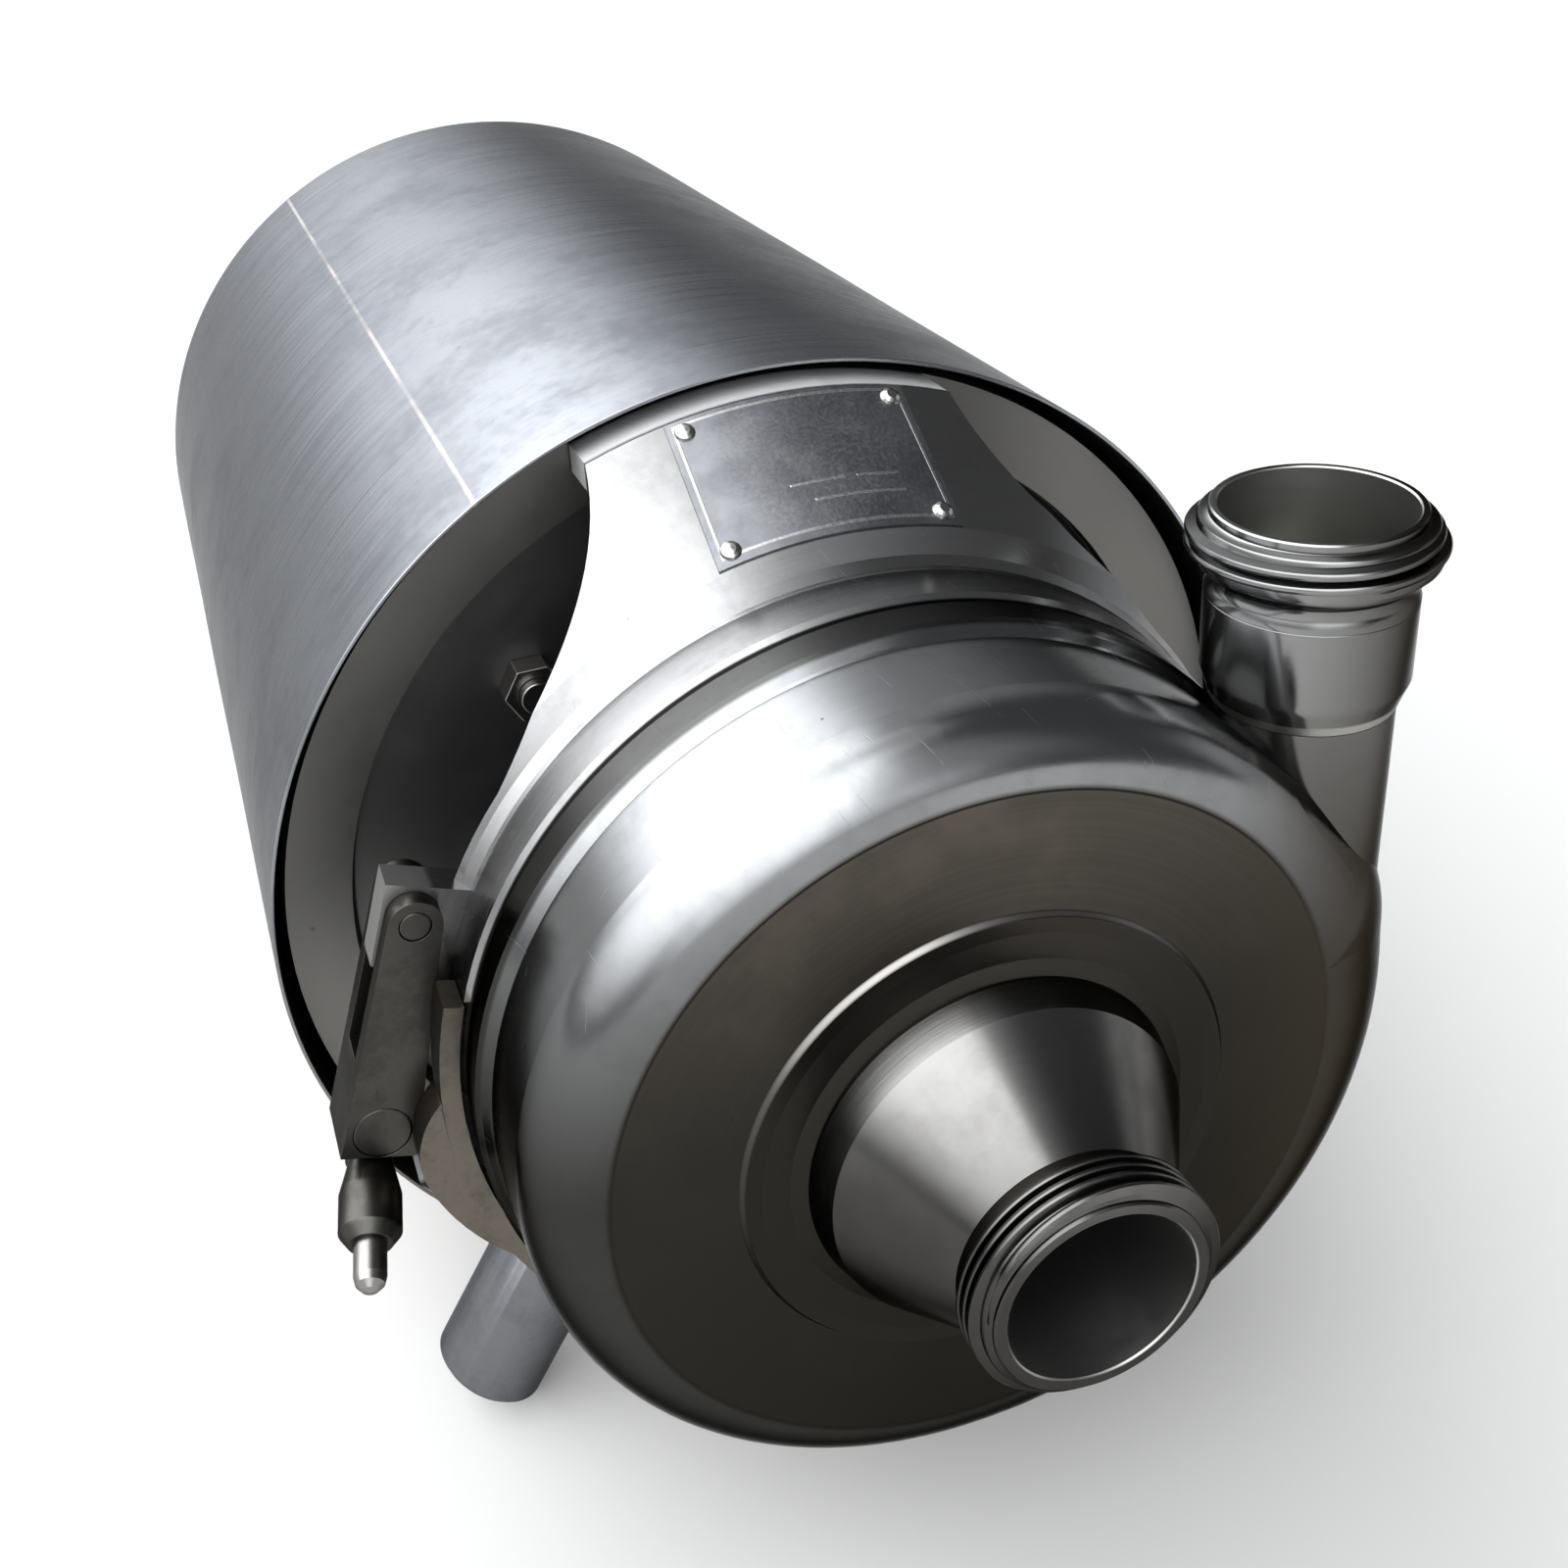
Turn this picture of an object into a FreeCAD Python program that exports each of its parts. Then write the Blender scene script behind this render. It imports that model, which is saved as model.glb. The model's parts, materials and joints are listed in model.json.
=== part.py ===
import FreeCAD, Part
import math
import os
import re

import Sketcher
from FreeCAD import Placement, Rotation, Vector

# Sanitary centrifugal pump with its shrouded motor.
# Millimetres. The origin is the centre of the inlet mouth.
# Y runs back along the pump shaft, X to the right, Z up.

# Sizes

SIZES = {
    # both pipe ends
    "pipe_bore_r": 23.8,
    "mouth_r": 27.4,
    "crest_r": 36.3,
    "root_r": 33.2,
    # inlet end and cone
    "inlet_nose_r": 31.2,
    "inlet_nose_len": 1.2,
    "inlet_thread_start": 3.4,
    "inlet_thread_end": 15.6,
    "inlet_neck_start": 17.4,
    "inlet_end_len": 18.0,
    "collar_front_r": 54.3,
    "collar_front_y": 50.2,
    "collar_r": 57.1,
    "collar_back_y": 60.9,
    "collar_edge": 1.2,
    "eye_r": 40.0,
    "eye_taper_y": 44.0,
    # casing
    "wall": 3.0,
    "step_r": 75.5,
    "dish_run": 5.0,
    "dish_y": 62.3,
    "step_front_y": 61.9,
    "step_back_y": 63.7,
    "step_run": 1.4,
    "shoulder_share": 0.154074,
    "face_y": 65.0,
    "face_overlap": 0.3,
    "volute_back_y": 120.0,
    "volute_r": 135.0,
    "right_share": 0.094074,
    "right_shift_share": 0.02963,
    "corner_share": 0.296296,
    "rim_rise": 3.9,
    "rim_back_y": 133.2,
    "rim_root_rise": 0.6,
    "rim_root_len": 7.0,
    "rim_edge": 1.0,
    "rim_sink": 2.0,
    "opening_step": 13.2,
    "opening_front_y": 100.0,
    # outlet
    "outlet_y": 104.0,
    "stub_r": 26.7,
    "stub_foot_z": 8.0,
    "sleeve_foot_z": 95.5,
    "sleeve_shoulder_z": 105.5,
    "sleeve_r": 30.0,
    "sleeve_top_z": 130.0,
    "sleeve_bore_z": 112.0,
    "sleeve_taper": 4.0,
    "neck_edge": 1.0,
    "neck_r": 28.9,
    "neck_low_z": 134.0,
    "neck_high_z": 137.2,
    "outlet_thread_start_z": 141.2,
    "outlet_thread_end_z": 153.0,
    "outlet_nose_r": 29.8,
    "outlet_nose_z": 154.4,
    "outlet_top_z": 157.5,
    # back plate and joint ring
    "part_gap": 0.3,
    "plate_thick": 5.0,
    "plate_lap": 4.9,
    "spigot_len": 3.5,
    "drill_len": 20.0,
    "drill_over": 2.0,
    "ring_step": 2.1,
    "ring_width": 4.2,
    "ring_thick": 2.0,
    "seat_r": 27.0,
    "seat_in_r": 17.0,
    "seat_len": 10.0,
    "seat_boss_r": 33.0,
    "seat_boss_len": 11.5,
    # adaptor
    "bell_lap": 1.6,
    "bell_edge": 2.5,
    "bead_back_y": 153.0,
    "fillet_rise": 2.5,
    "fillet_y": 159.0,
    "cone_rise": 9.5,
    "cone_front_y": 164.0,
    "cone_spread": 31.0,
    "cone_back_y": 210.0,
    "flange_front_y": 232.0,
    "flange_back_y": 246.0,
    "web_front_y": 240.0,
    "recess_r": 158.0,
    "plate_land": 5.0,
    "bell_in_y": 158.0,
    "bell_wall": 9.0,
    "bell_step": 2.0,
    "flange_edge": 1.0,
    "web_hole_r": 45.0,
    "saddle_half": 62.0,
    "saddle_back_y": 211.0,
    "saddle_mid_x": 77.4,
    "saddle_mid_y": 177.6,
    "saddle_foot_x": 112.0,
    "saddle_foot_y": 160.3,
    "window_floor_z": -95.0,
    "stud_circle_r": 118.0,
    "stud_r": 6.0,
    "stud_front_y": 226.0,
    "nut_flats": 19.0,
    "nut_thick": 10.0,
    # nameplate
    "nameplate_w": 80.0,
    "nameplate_x": 4.0,
    "nameplate_thick": 0.8,
    "nameplate_gap": 0.15,
    "nameplate_margin": 0.6,
    "rivet_head_r": 3.4,
    "rivet_head_len": 2.0,
    "rivet_shank_r": 1.5,
    "rivet_shank_len": 5.0,
    "rivet_inset": 5.5,
    # clamp fork, its lug and pin
    "pin_out": 3.5,
    "pin_z": 61.0,
    "pin_r": 5.0,
    "run_gap": 0.05,
    "fork_lean": 16.4,
    "fork_front_y": 148.0,
    "fork_plate": 6.2,
    "fork_depth": 25.0,
    "lug_front_y": 154.5,
    "lug_thick": 12.0,
    "lug_root_depth": 6.3,
    "lug_side": 9.3,
    "lug_above": 10.6,
    "lug_below": 17.9,
    "fork_top_half": 8.5,
    "fork_foot_half": 12.2,
    "fork_foot_len": 32.9,
    "fork_len": 85.5,
    "trunnion_r": 9.4,
    "trunnion_up": 9.6,
    # clamp screw and lever
    "screw_r": 4.0,
    "screw_len": 12.5,
    "hub_r": 7.4,
    "hub_len": 12.0,
    "lever_drop": 5.5,
    "lever_neck_r": 7.0,
    "lever_neck_len": 6.0,
    "lever_swell_r": 10.0,
    "lever_swell_start": 18.0,
    "lever_swell_end": 30.6,
    "lever_boss_len": 34.6,
    "lever_tip_r": 7.0,
    "rod_r": 5.2,
    "rod_len": 15.5,
    # clamp strap
    "strap_gap": 0.3,
    "strap_thick": 6.2,
    "strap_front_y": 133.5,
    "strap_width": 14.2,
    "strap_left_deg": 164.0,
    "strap_right_deg": 332.0,
    "hinge_deg": 337.0,
    "hinge_rise": 11.5,
    "hinge_pin_r": 3.5,
    "knuckle_r": 7.0,
    "knuckle_len": 7.1,
    "hinge_len": 16.5,
    "hinge_root_depth": 1.5,
    "web_rise": 5.0,
    "ear_start_deg": 177.0,
    "ear_peak_deg": 189.5,
    "ear_end_deg": 211.0,
    "ear_rise": 17.4,
    "ear_step": 2.0,
    # legs and feet
    "leg_r": 21.0,
    "leg_chamfer": 2.5,
    "leg_inset": 38.2,
    "leg_y": 197.5,
    "leg_rise": 7.9,
    "leg_splay": 32.0,
    "foot_half_w": 60.0,
    "foot_len": 40.0,
    "foot_from_back": 105.0,
    "foot_hold": 19.6,
    "foot_clear": 1.9,
    # impeller and pump shaft
    "impeller_r": 105.0,
    "impeller_disc": 5.0,
    "impeller_back_y": 124.3,
    "hub_out_r": 18.0,
    "hub_fillet": 4.0,
    "hub_bore_r": 10.0,
    "hub_front_y": 104.3,
    "vane_front_y": 84.0,
    "vane_thick": 5.0,
    "vane_arc_r": 70.0,
    "vane_start_r": 24.0,
    "vane_lead_deg": 25.0,
    "vane_drop": 20.0,
    "vane_inset": 6.0,
    "vane_sink": 0.5,
    "vane_count": 6,
    "shaft_r": 12.5,
    "shaft_tip_y": 90.0,
    "shaft_tip_r": 8.0,
    "nut_r": 14.0,
    "nut_front_y": 84.0,
    "nut_nose_len": 2.0,
    "nut_dome_len": 8.0,
    "coupling_y": 188.0,
    "coupling_r": 19.0,
    "coupling_back_y": 226.0,
    "coupling_bore_y": 195.0,
    "seal_r": 22.0,
    "seal_len": 6.0,
    "boot_r": 19.0,
    "boot_waist_r": 16.5,
    "boot_len": 12.0,
    "boot_folds": 2,
    "seal_collar_r": 24.0,
    "seal_collar_len": 10.0,
    "slinger_r": 40.0,
    "slinger_y": 178.0,
    "slinger_thick": 3.0,
    "clamp_ring_r": 30.0,
    "clamp_ring_y": 198.0,
    "clamp_ring_len": 16.0,
    # motor
    "motor_shaft_r": 12.0,
    "journal_r": 15.0,
    "core_shaft_r": 17.5,
    "motor_shaft_end_y": 622.0,
    "bearing_r": 31.0,
    "bearing_len": 16.0,
    "front_bearing_y": 252.0,
    "rear_bearing_y": 562.0,
    "shield_plate": 8.0,
    "shield_len": 26.0,
    "shield_rim": 16.0,
    "shield_rim_r": 135.0,
    "shield_hub_r": 42.0,
    "frame_front_y": 262.0,
    "frame_back_y": 560.0,
    "frame_bore_r": 118.0,
    "frame_wall": 16.0,
    "fin_height": 16.0,
    "fin_thick": 4.0,
    "fin_sink": 1.0,
    "fin_count": 20,
    "stator_bore_r": 75.0,
    "core_r": 74.0,
    "core_front_y": 330.0,
    "core_back_y": 470.0,
    "fan_y": 596.0,
    "fan_hub_r": 24.0,
    "fan_disc": 3.0,
    "fan_r": 118.0,
    "fan_blade_len": 17.0,
    "fan_blade_thick": 3.0,
    "fan_blade_sink": 2.0,
    "fan_edge": 1.0,
    "fan_blade_count": 9,
    # shroud
    "shroud_gap": 5.1,
    "shroud_wall": 1.5,
    "shroud_front_y": 220.0,
    "shroud_back_y": 705.0,
    "bracket_y": 536.0,
    "bracket_len": 18.0,
    "bracket_thick": 12.0,
    "end_thick": 2.0,
    "end_inset": 1.0,
    "slot_in_r": 62.0,
    "slot_out_r": 142.0,
    "slot_w": 11.0,
    "slot_count": 18,
    "end_lip": 9.0,
    "gland_x": 108.0,
    "gland_z": -108.0,
    "gland_r": 13.0,
    "gland_nut_r": 16.0,
    "gland_bore_r": 5.5,
    "gland_len": 20.0,
    "gland_nut_len": 8.0,
}

# Sizes that follow others, kept as formulas in the sheet

DERIVED = {
    "face_r": "volute_r * (1 - shoulder_share)",
    "volute_right_r": "volute_r * (1 + right_share)",
    "right_shift": "volute_r * right_shift_share",
    "volute_corner_r": "volute_r * corner_share",
    "outlet_x": "volute_right_r + right_shift - stub_r",
    "rim_r": "volute_r + rim_rise",
    "rim_root_r": "volute_r + rim_root_rise",
    "opening_r": "volute_r - opening_step",
    "ring_in_r": "opening_r + ring_step",
    "ring_out_r": "ring_in_r + ring_width",
    "plate_r": "ring_out_r + plate_lap",
    "bell_in_r": "plate_r - plate_land",
    "bell_r": "rim_r + bell_lap",
    "fillet_r": "bell_r + fillet_rise",
    "cone_front_r": "bell_r + cone_rise",
    "cone_back_r": "cone_front_r + cone_spread",
    "lug_root_r": "bell_r - lug_root_depth",
    "pin_x": "-bell_r - pin_out",
    "hinge_reach": "bell_r + hinge_rise",
    "hinge_root_r": "bell_r - hinge_root_depth",
    "web_reach": "hinge_reach + web_rise",
    "ear_reach": "bell_r + ear_rise",
    "fork_slot_len": "fork_len - fork_foot_len",
    "trunnion_down": "fork_len - trunnion_up",
    "lever_down": "fork_len + lever_drop",
    "leg_len": "cone_back_r * 0.6",
    "leg_x": "cone_back_r - leg_inset",
    "foot_y": "shroud_back_y - foot_from_back",
    "frame_out_r": "frame_bore_r + frame_wall",
    "fin_out_r": "frame_out_r + fin_height",
    "shroud_in_r": "cone_back_r + shroud_gap",
    "shroud_out_r": "shroud_in_r + shroud_wall",
    "floor_z": "-shroud_out_r - foot_clear",
}

os.makedirs("parts", exist_ok=True)
doc = FreeCAD.newDocument("sanitary_pump")
sheet = doc.addObject("Spreadsheet::Sheet", "Size")
cells = [(size_name, str(value)) for size_name, value in SIZES.items()]
cells += [(size_name, "=" + text) for size_name, text in DERIVED.items()]
for row, (size_name, content) in enumerate(cells, start=1):
    sheet.set("A%d" % row, size_name)
    sheet.set("B%d" % row, content)
    sheet.setAlias("B%d" % row, size_name)
    doc.recompute()
SHEET = {size_name: float(sheet.get(size_name)) for size_name, content in cells}

nodes = []


# Helpers for sums of sizes

def amount(text):
    """The number that a sum such as "rim_r - 2*wall" stands for."""
    total = 0.0
    for term in str(text).replace(" ", "").replace("-", "+-").split("+"):
        if not term:
            continue
        product = -1.0 if term.startswith("-") else 1.0
        for factor in term.lstrip("-").split("*"):
            product *= SHEET[factor] if factor in SHEET else float(factor)
        total += product
    return total


def formula(text):
    """The same sum as an expression on the sheet."""
    return re.sub(r"[a-z]\w*", lambda name: "Size." + name.group(0), str(text))


def bind(item, prop, text):
    setattr(item, prop, amount(text))
    item.setExpression(prop, formula(text))


def place(item, at=("0", "0", "0"), turn=None):
    """Set a placement whose position follows the sheet."""
    item.Placement = Placement(Vector(*[amount(word) for word in at]), turn or Rotation())
    for letter, word in zip("xyz", at):
        if amount(word):
            item.setExpression("Placement.Base." + letter, formula(word))
    return item


def node(item, name):
    item.Label = name
    nodes.append(item)
    return item


# Helpers for shapes

BACKWARD = Rotation(Vector(0, 0, 1), Vector(0, 1, 0))


def origin_item(body, role):
    return [item for item in body.Origin.OriginFeatures if item.Role == role][0]


def new_sketch(body, name, plane):
    sketch = body.newObject("Sketcher::SketchObject", name)
    sketch.AttachmentSupport = [(origin_item(body, plane), "")]
    sketch.MapMode = "FlatFace"
    return sketch


def outline(sketch, points):
    """A closed outline whose corners follow the sheet."""
    spots = [Vector(amount(across), amount(along), 0) for across, along in points]
    count = len(spots)
    for index in range(count):
        sketch.addGeometry(Part.LineSegment(spots[index], spots[(index + 1) % count]), False)
    for index in range(count):
        sketch.addConstraint(Sketcher.Constraint("Coincident", index, 2, (index + 1) % count, 1))
    for index, (across, along) in enumerate(points):
        for kind, axis, word in (("DistanceX", -2, across), ("DistanceY", -1, along)):
            if abs(amount(word)) < 1e-9:
                sketch.addConstraint(Sketcher.Constraint("PointOnObject", index, 1, axis))
                continue
            number = sketch.addConstraint(Sketcher.Constraint(kind, -1, 1, index, 1, amount(word)))
            sketch.setExpression("Constraints[%d]" % number, formula(word))


def turned(name, points, upright=False, at=("0", "0", "0"), turn=None):
    """A body turned from (radius, distance along the axis) points."""
    body = doc.addObject("PartDesign::Body", name)
    sketch = new_sketch(body, name + "_profile", "XZ_Plane" if upright else "XY_Plane")
    outline(sketch, points)
    revolve = body.newObject("PartDesign::Revolution", name + "_turn")
    revolve.Profile = sketch
    revolve.ReferenceAxis = (sketch, ["V_Axis"])
    revolve.Angle = 360
    body.Tip = revolve
    return place(body, at, turn)


def padded(body, name, points, length, plane="XZ_Plane", start="0"):
    """A pad on a body from straight outline points."""
    sketch = new_sketch(body, name + "_outline", plane)
    outline(sketch, points)
    if amount(start):
        sketch.AttachmentOffset = Placement(Vector(0, 0, -amount(start)), Rotation())
        sketch.setExpression("AttachmentOffset.Base.z", "-(" + formula(start) + ")")
    pad = body.newObject("PartDesign::Pad", name)
    pad.Profile = sketch
    pad.Reversed = True
    bind(pad, "Length", length)
    return pad


def patterned(body, name, feature, count):
    pattern = body.newObject("PartDesign::PolarPattern", name)
    pattern.Originals = [feature]
    pattern.Axis = (origin_item(body, "Y_Axis"), [""])
    pattern.Angle = 360
    pattern.Occurrences = int(amount(count))
    body.Tip = pattern
    return pattern


def cylinder(name, radius, length, at, turn=BACKWARD):
    item = doc.addObject("Part::Cylinder", name)
    bind(item, "Radius", radius)
    bind(item, "Height", length)
    return place(item, at, turn)


def block(name, sides, at):
    item = doc.addObject("Part::Box", name)
    for prop, word in zip(("Length", "Width", "Height"), sides):
        bind(item, prop, word)
    return place(item, at)


def joined(name, items, merge_faces=True):
    item = doc.addObject("Part::MultiFuse", name)
    item.Shapes = items
    item.Refine = merge_faces
    return item


def less(name, base, tool, merge_faces=True):
    item = doc.addObject("Part::Cut", name)
    item.Base = base
    item.Tool = tool
    item.Refine = merge_faces
    return item


def wedge(name, spots, low, high):
    """A solid from X and Z outline spots between two Y words."""
    wire = Part.makePolygon([Vector(x, amount(low), z) for x, z in spots + spots[:1]])
    item = doc.addObject("Part::Feature", name)
    item.Shape = Part.Face(wire).extrude(Vector(0, amount(high) - amount(low), 0))
    return item


# Pipe ends, cone and sleeve

inlet_profile = [
    ("mouth_r", "0"),
    ("inlet_nose_r", "0"),
    ("inlet_nose_r", "inlet_nose_len"),
    ("crest_r", "inlet_thread_start"),
    ("crest_r", "inlet_thread_end"),
    ("root_r", "inlet_neck_start"),
    ("root_r", "inlet_end_len"),
    ("mouth_r", "inlet_end_len"),
]
node(turned("inlet_male_end", inlet_profile), "inlet_male_end")

nozzle_profile = [
    ("mouth_r", "inlet_end_len"),
    ("root_r", "inlet_end_len"),
    ("collar_front_r", "collar_front_y"),
    ("collar_r", "collar_back_y - collar_edge"),
    ("collar_r", "collar_back_y"),
    ("eye_r", "collar_back_y"),
    ("mouth_r", "eye_taper_y"),
]
node(turned("inlet_nozzle", nozzle_profile), "inlet_nozzle")

outlet_at = ("outlet_x", "outlet_y", "0")
sleeve_profile = [
    ("pipe_bore_r", "sleeve_foot_z"),
    ("stub_r", "sleeve_foot_z"),
    ("sleeve_r", "sleeve_shoulder_z"),
    ("sleeve_r", "sleeve_top_z"),
    ("mouth_r", "sleeve_top_z"),
    ("mouth_r", "sleeve_bore_z"),
    ("pipe_bore_r", "sleeve_bore_z - sleeve_taper"),
]
node(turned("outlet_sleeve", sleeve_profile, True, outlet_at), "outlet_sleeve")

outlet_profile = [
    ("mouth_r", "sleeve_top_z"),
    ("mouth_r", "outlet_top_z"),
    ("outlet_nose_r", "outlet_top_z"),
    ("outlet_nose_r", "outlet_nose_z"),
    ("crest_r", "outlet_thread_end_z"),
    ("crest_r", "outlet_thread_start_z"),
    ("neck_r", "neck_high_z"),
    ("neck_r", "neck_low_z"),
    ("sleeve_r", "sleeve_top_z + neck_edge"),
    ("sleeve_r", "sleeve_top_z"),
]
node(turned("outlet_male_end", outlet_profile, True, outlet_at), "outlet_male_end")


# Casing

def volute(inset, front, back):
    """Spiral body whose shoulder widens round to the outlet side."""
    shrink = amount(inset)
    round_r = SHEET["volute_r"]
    right_r = SHEET["volute_right_r"]
    right_x = SHEET["right_shift"]
    right_z = right_r - round_r
    corner_r = SHEET["volute_corner_r"]
    corner_x = right_x + right_r - corner_r
    corner_z = (round_r - corner_r) * math.sqrt(2) - corner_x

    def spot(centre, radius, degrees):
        turn_by = math.radians(degrees)
        reach = radius - shrink
        return Vector(centre[0] + reach * math.cos(turn_by), amount(front),
                      centre[1] + reach * math.sin(turn_by))

    arcs = [
        ((0, 0), round_r, 45, 270),
        ((right_x, right_z), right_r, 270, 360),
        ((corner_x, corner_z), corner_r, 0, 45),
    ]
    edges = []
    for centre, radius, first, last in arcs:
        start = spot(centre, radius, first)
        end = spot(centre, radius, last)
        if edges and (edges[-1].Vertexes[-1].Point - start).Length > 0.01:
            edges.append(Part.makeLine(edges[-1].Vertexes[-1].Point, start))
        edges.append(Part.Arc(start, spot(centre, radius, (first + last) / 2), end).toShape())
    edges.append(Part.makeLine(edges[-1].Vertexes[-1].Point, edges[0].Vertexes[0].Point))
    face = Part.Face(Part.Wire(edges))
    return face.extrude(Vector(0, amount(back) - amount(front), 0))


def shoulder(shape, front):
    """Fillet sizes that round the front edge but leave the flat face a circle."""
    flat_r = SHEET["face_r"] - SHEET["face_overlap"]
    found = []
    for number, edge in enumerate(shape.Edges, start=1):
        ends = [edge.Vertexes[0].Point, edge.Vertexes[-1].Point]
        if max(abs(end.y - amount(front)) for end in ends) < 0.01:
            first, last = [math.hypot(end.x, end.z) - flat_r for end in ends]
            found.append((number, first, last))
    return found


def volute_node(name, inset, front, back):
    plain = doc.addObject("Part::Feature", name + "_plain")
    plain.Shape = volute(inset, front, back)
    rounded = doc.addObject("Part::Fillet", name)
    rounded.Base = plain
    rounded.Edges = shoulder(plain.Shape, front)
    return rounded


volute_outer = volute_node("volute_outer", "0", "face_y", "volute_back_y")
volute_inner = volute_node("volute_inner", "wall", "face_y + wall", "volute_back_y - wall")

face_profile = [
    ("eye_r", "collar_back_y"),
    ("collar_r", "collar_back_y"),
    ("collar_r + dish_run", "dish_y"),
    ("step_r - dish_run", "dish_y"),
    ("step_r", "step_front_y"),
    ("step_r + step_run", "step_back_y"),
    ("face_r", "face_y"),
    ("face_r", "face_y + rim_edge"),
    ("eye_r", "face_y + rim_edge"),
]
face_disc = turned("casing_face", face_profile)
rim_profile = [
    ("opening_r", "volute_back_y - rim_root_len"),
    ("volute_r - rim_sink", "volute_back_y - rim_root_len"),
    ("rim_root_r", "volute_back_y - 0.5*rim_root_len"),
    ("rim_r - 1.5*rim_edge", "volute_back_y - 0.5*rim_edge"),
    ("rim_r", "volute_back_y + rim_edge"),
    ("rim_r", "rim_back_y - rim_edge"),
    ("rim_r - rim_edge", "rim_back_y"),
    ("opening_r", "rim_back_y"),
]
rim = turned("casing_rim", rim_profile)
stub = cylinder("outlet_stub", "stub_r", "sleeve_foot_z - stub_foot_z",
                ("outlet_x", "outlet_y", "stub_foot_z"), Rotation())


# The swell under the sleeve grows in these steps, each with its drop below the sleeve's
# foot, how much wider and deeper it is there, and how far it has moved to the front.
SWELL = [
    (0.6, -0.01, -0.02, 0.0),
    (4.0, 1.3, 0.7, 0.4),
    (9.5, 5.3, 2.7, 1.8),
    (29.5, 6.7, 3.3, 3.0),
    (51.5, 9.3, 3.7, 5.0),
    (71.5, 15.3, 4.3, 7.0),
]


def swell(name):
    """A loft of level ovals whose right side stays in line with the sleeve."""
    stub_r = SHEET["stub_r"]
    rings = []
    for drop, wider, deeper, forward in SWELL:
        half_x = stub_r + wider
        half_y = stub_r + deeper
        oval = Part.Ellipse(Vector(0, 0, 0), max(half_x, half_y), min(half_x, half_y))
        ring = Part.Wire([oval.toShape()])
        if half_y > half_x:
            ring.rotate(Vector(0, 0, 0), Vector(0, 0, 1), 90)
        ring.translate(Vector(SHEET["outlet_x"] + stub_r - half_x, SHEET["outlet_y"] - forward,
                              SHEET["sleeve_foot_z"] - drop))
        rings.append(ring)
    item = doc.addObject("Part::Feature", name)
    item.Shape = Part.makeLoft(rings, True, False)
    return item


outlet_foot = swell("outlet_foot")
casing_solid = joined("casing_solid", [volute_outer, face_disc, rim, stub, outlet_foot], False)
sleeve_seat_profile = [
    ("0", "sleeve_foot_z"),
    ("stub_r", "sleeve_foot_z"),
    ("sleeve_r", "sleeve_shoulder_z"),
    ("sleeve_r", "sleeve_top_z"),
    ("0", "sleeve_top_z"),
]
casing_voids = joined("casing_voids", [
    volute_inner,
    turned("sleeve_seat", sleeve_seat_profile, True, outlet_at),
    cylinder("casing_opening", "opening_r", "rim_back_y + drill_over - opening_front_y",
             ("0", "opening_front_y", "0")),
    cylinder("casing_eye", "eye_r", "drill_len", ("0", "collar_back_y - drill_over", "0")),
    cylinder("outlet_bore", "pipe_bore_r", "sleeve_foot_z - stub_foot_z - wall + drill_over",
             ("outlet_x", "outlet_y", "stub_foot_z + wall"), Rotation()),
], False)
node(less("casing", casing_solid, casing_voids, False), "casing")

# Back plate, joint ring and fixed seal ring

plate_profile = [
    ("seat_r", "rim_back_y + part_gap - spigot_len"),
    ("opening_r - part_gap", "rim_back_y + part_gap - spigot_len"),
    ("opening_r - part_gap", "rim_back_y + part_gap"),
    ("ring_in_r", "rim_back_y + part_gap"),
    ("ring_in_r", "rim_back_y + part_gap + ring_thick"),
    ("ring_out_r", "rim_back_y + part_gap + ring_thick"),
    ("ring_out_r", "rim_back_y + part_gap"),
    ("plate_r", "rim_back_y + part_gap"),
    ("plate_r", "rim_back_y + part_gap + plate_thick"),
    ("seat_boss_r", "rim_back_y + part_gap + plate_thick"),
    ("seat_boss_r", "rim_back_y + part_gap + plate_thick + seat_boss_len"),
    ("seat_r", "rim_back_y + part_gap + plate_thick + seat_boss_len"),
]
node(turned("back_plate", plate_profile), "back_plate")

ring_profile = [
    ("ring_in_r", "rim_back_y + part_gap"),
    ("ring_out_r", "rim_back_y + part_gap"),
    ("ring_out_r", "rim_back_y + part_gap + ring_thick"),
    ("ring_in_r", "rim_back_y + part_gap + ring_thick"),
]
node(turned("casing_joint_ring", ring_profile), "casing_joint_ring")

seat_profile = [
    ("seat_in_r", "rim_back_y + part_gap"),
    ("seat_r", "rim_back_y + part_gap"),
    ("seat_r", "rim_back_y + part_gap + seat_len"),
    ("seat_in_r", "rim_back_y + part_gap + seat_len"),
]
node(turned("seal_seat", seat_profile), "seal_seat")

# Adaptor bell with its windows, lugs and stud holes

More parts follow.
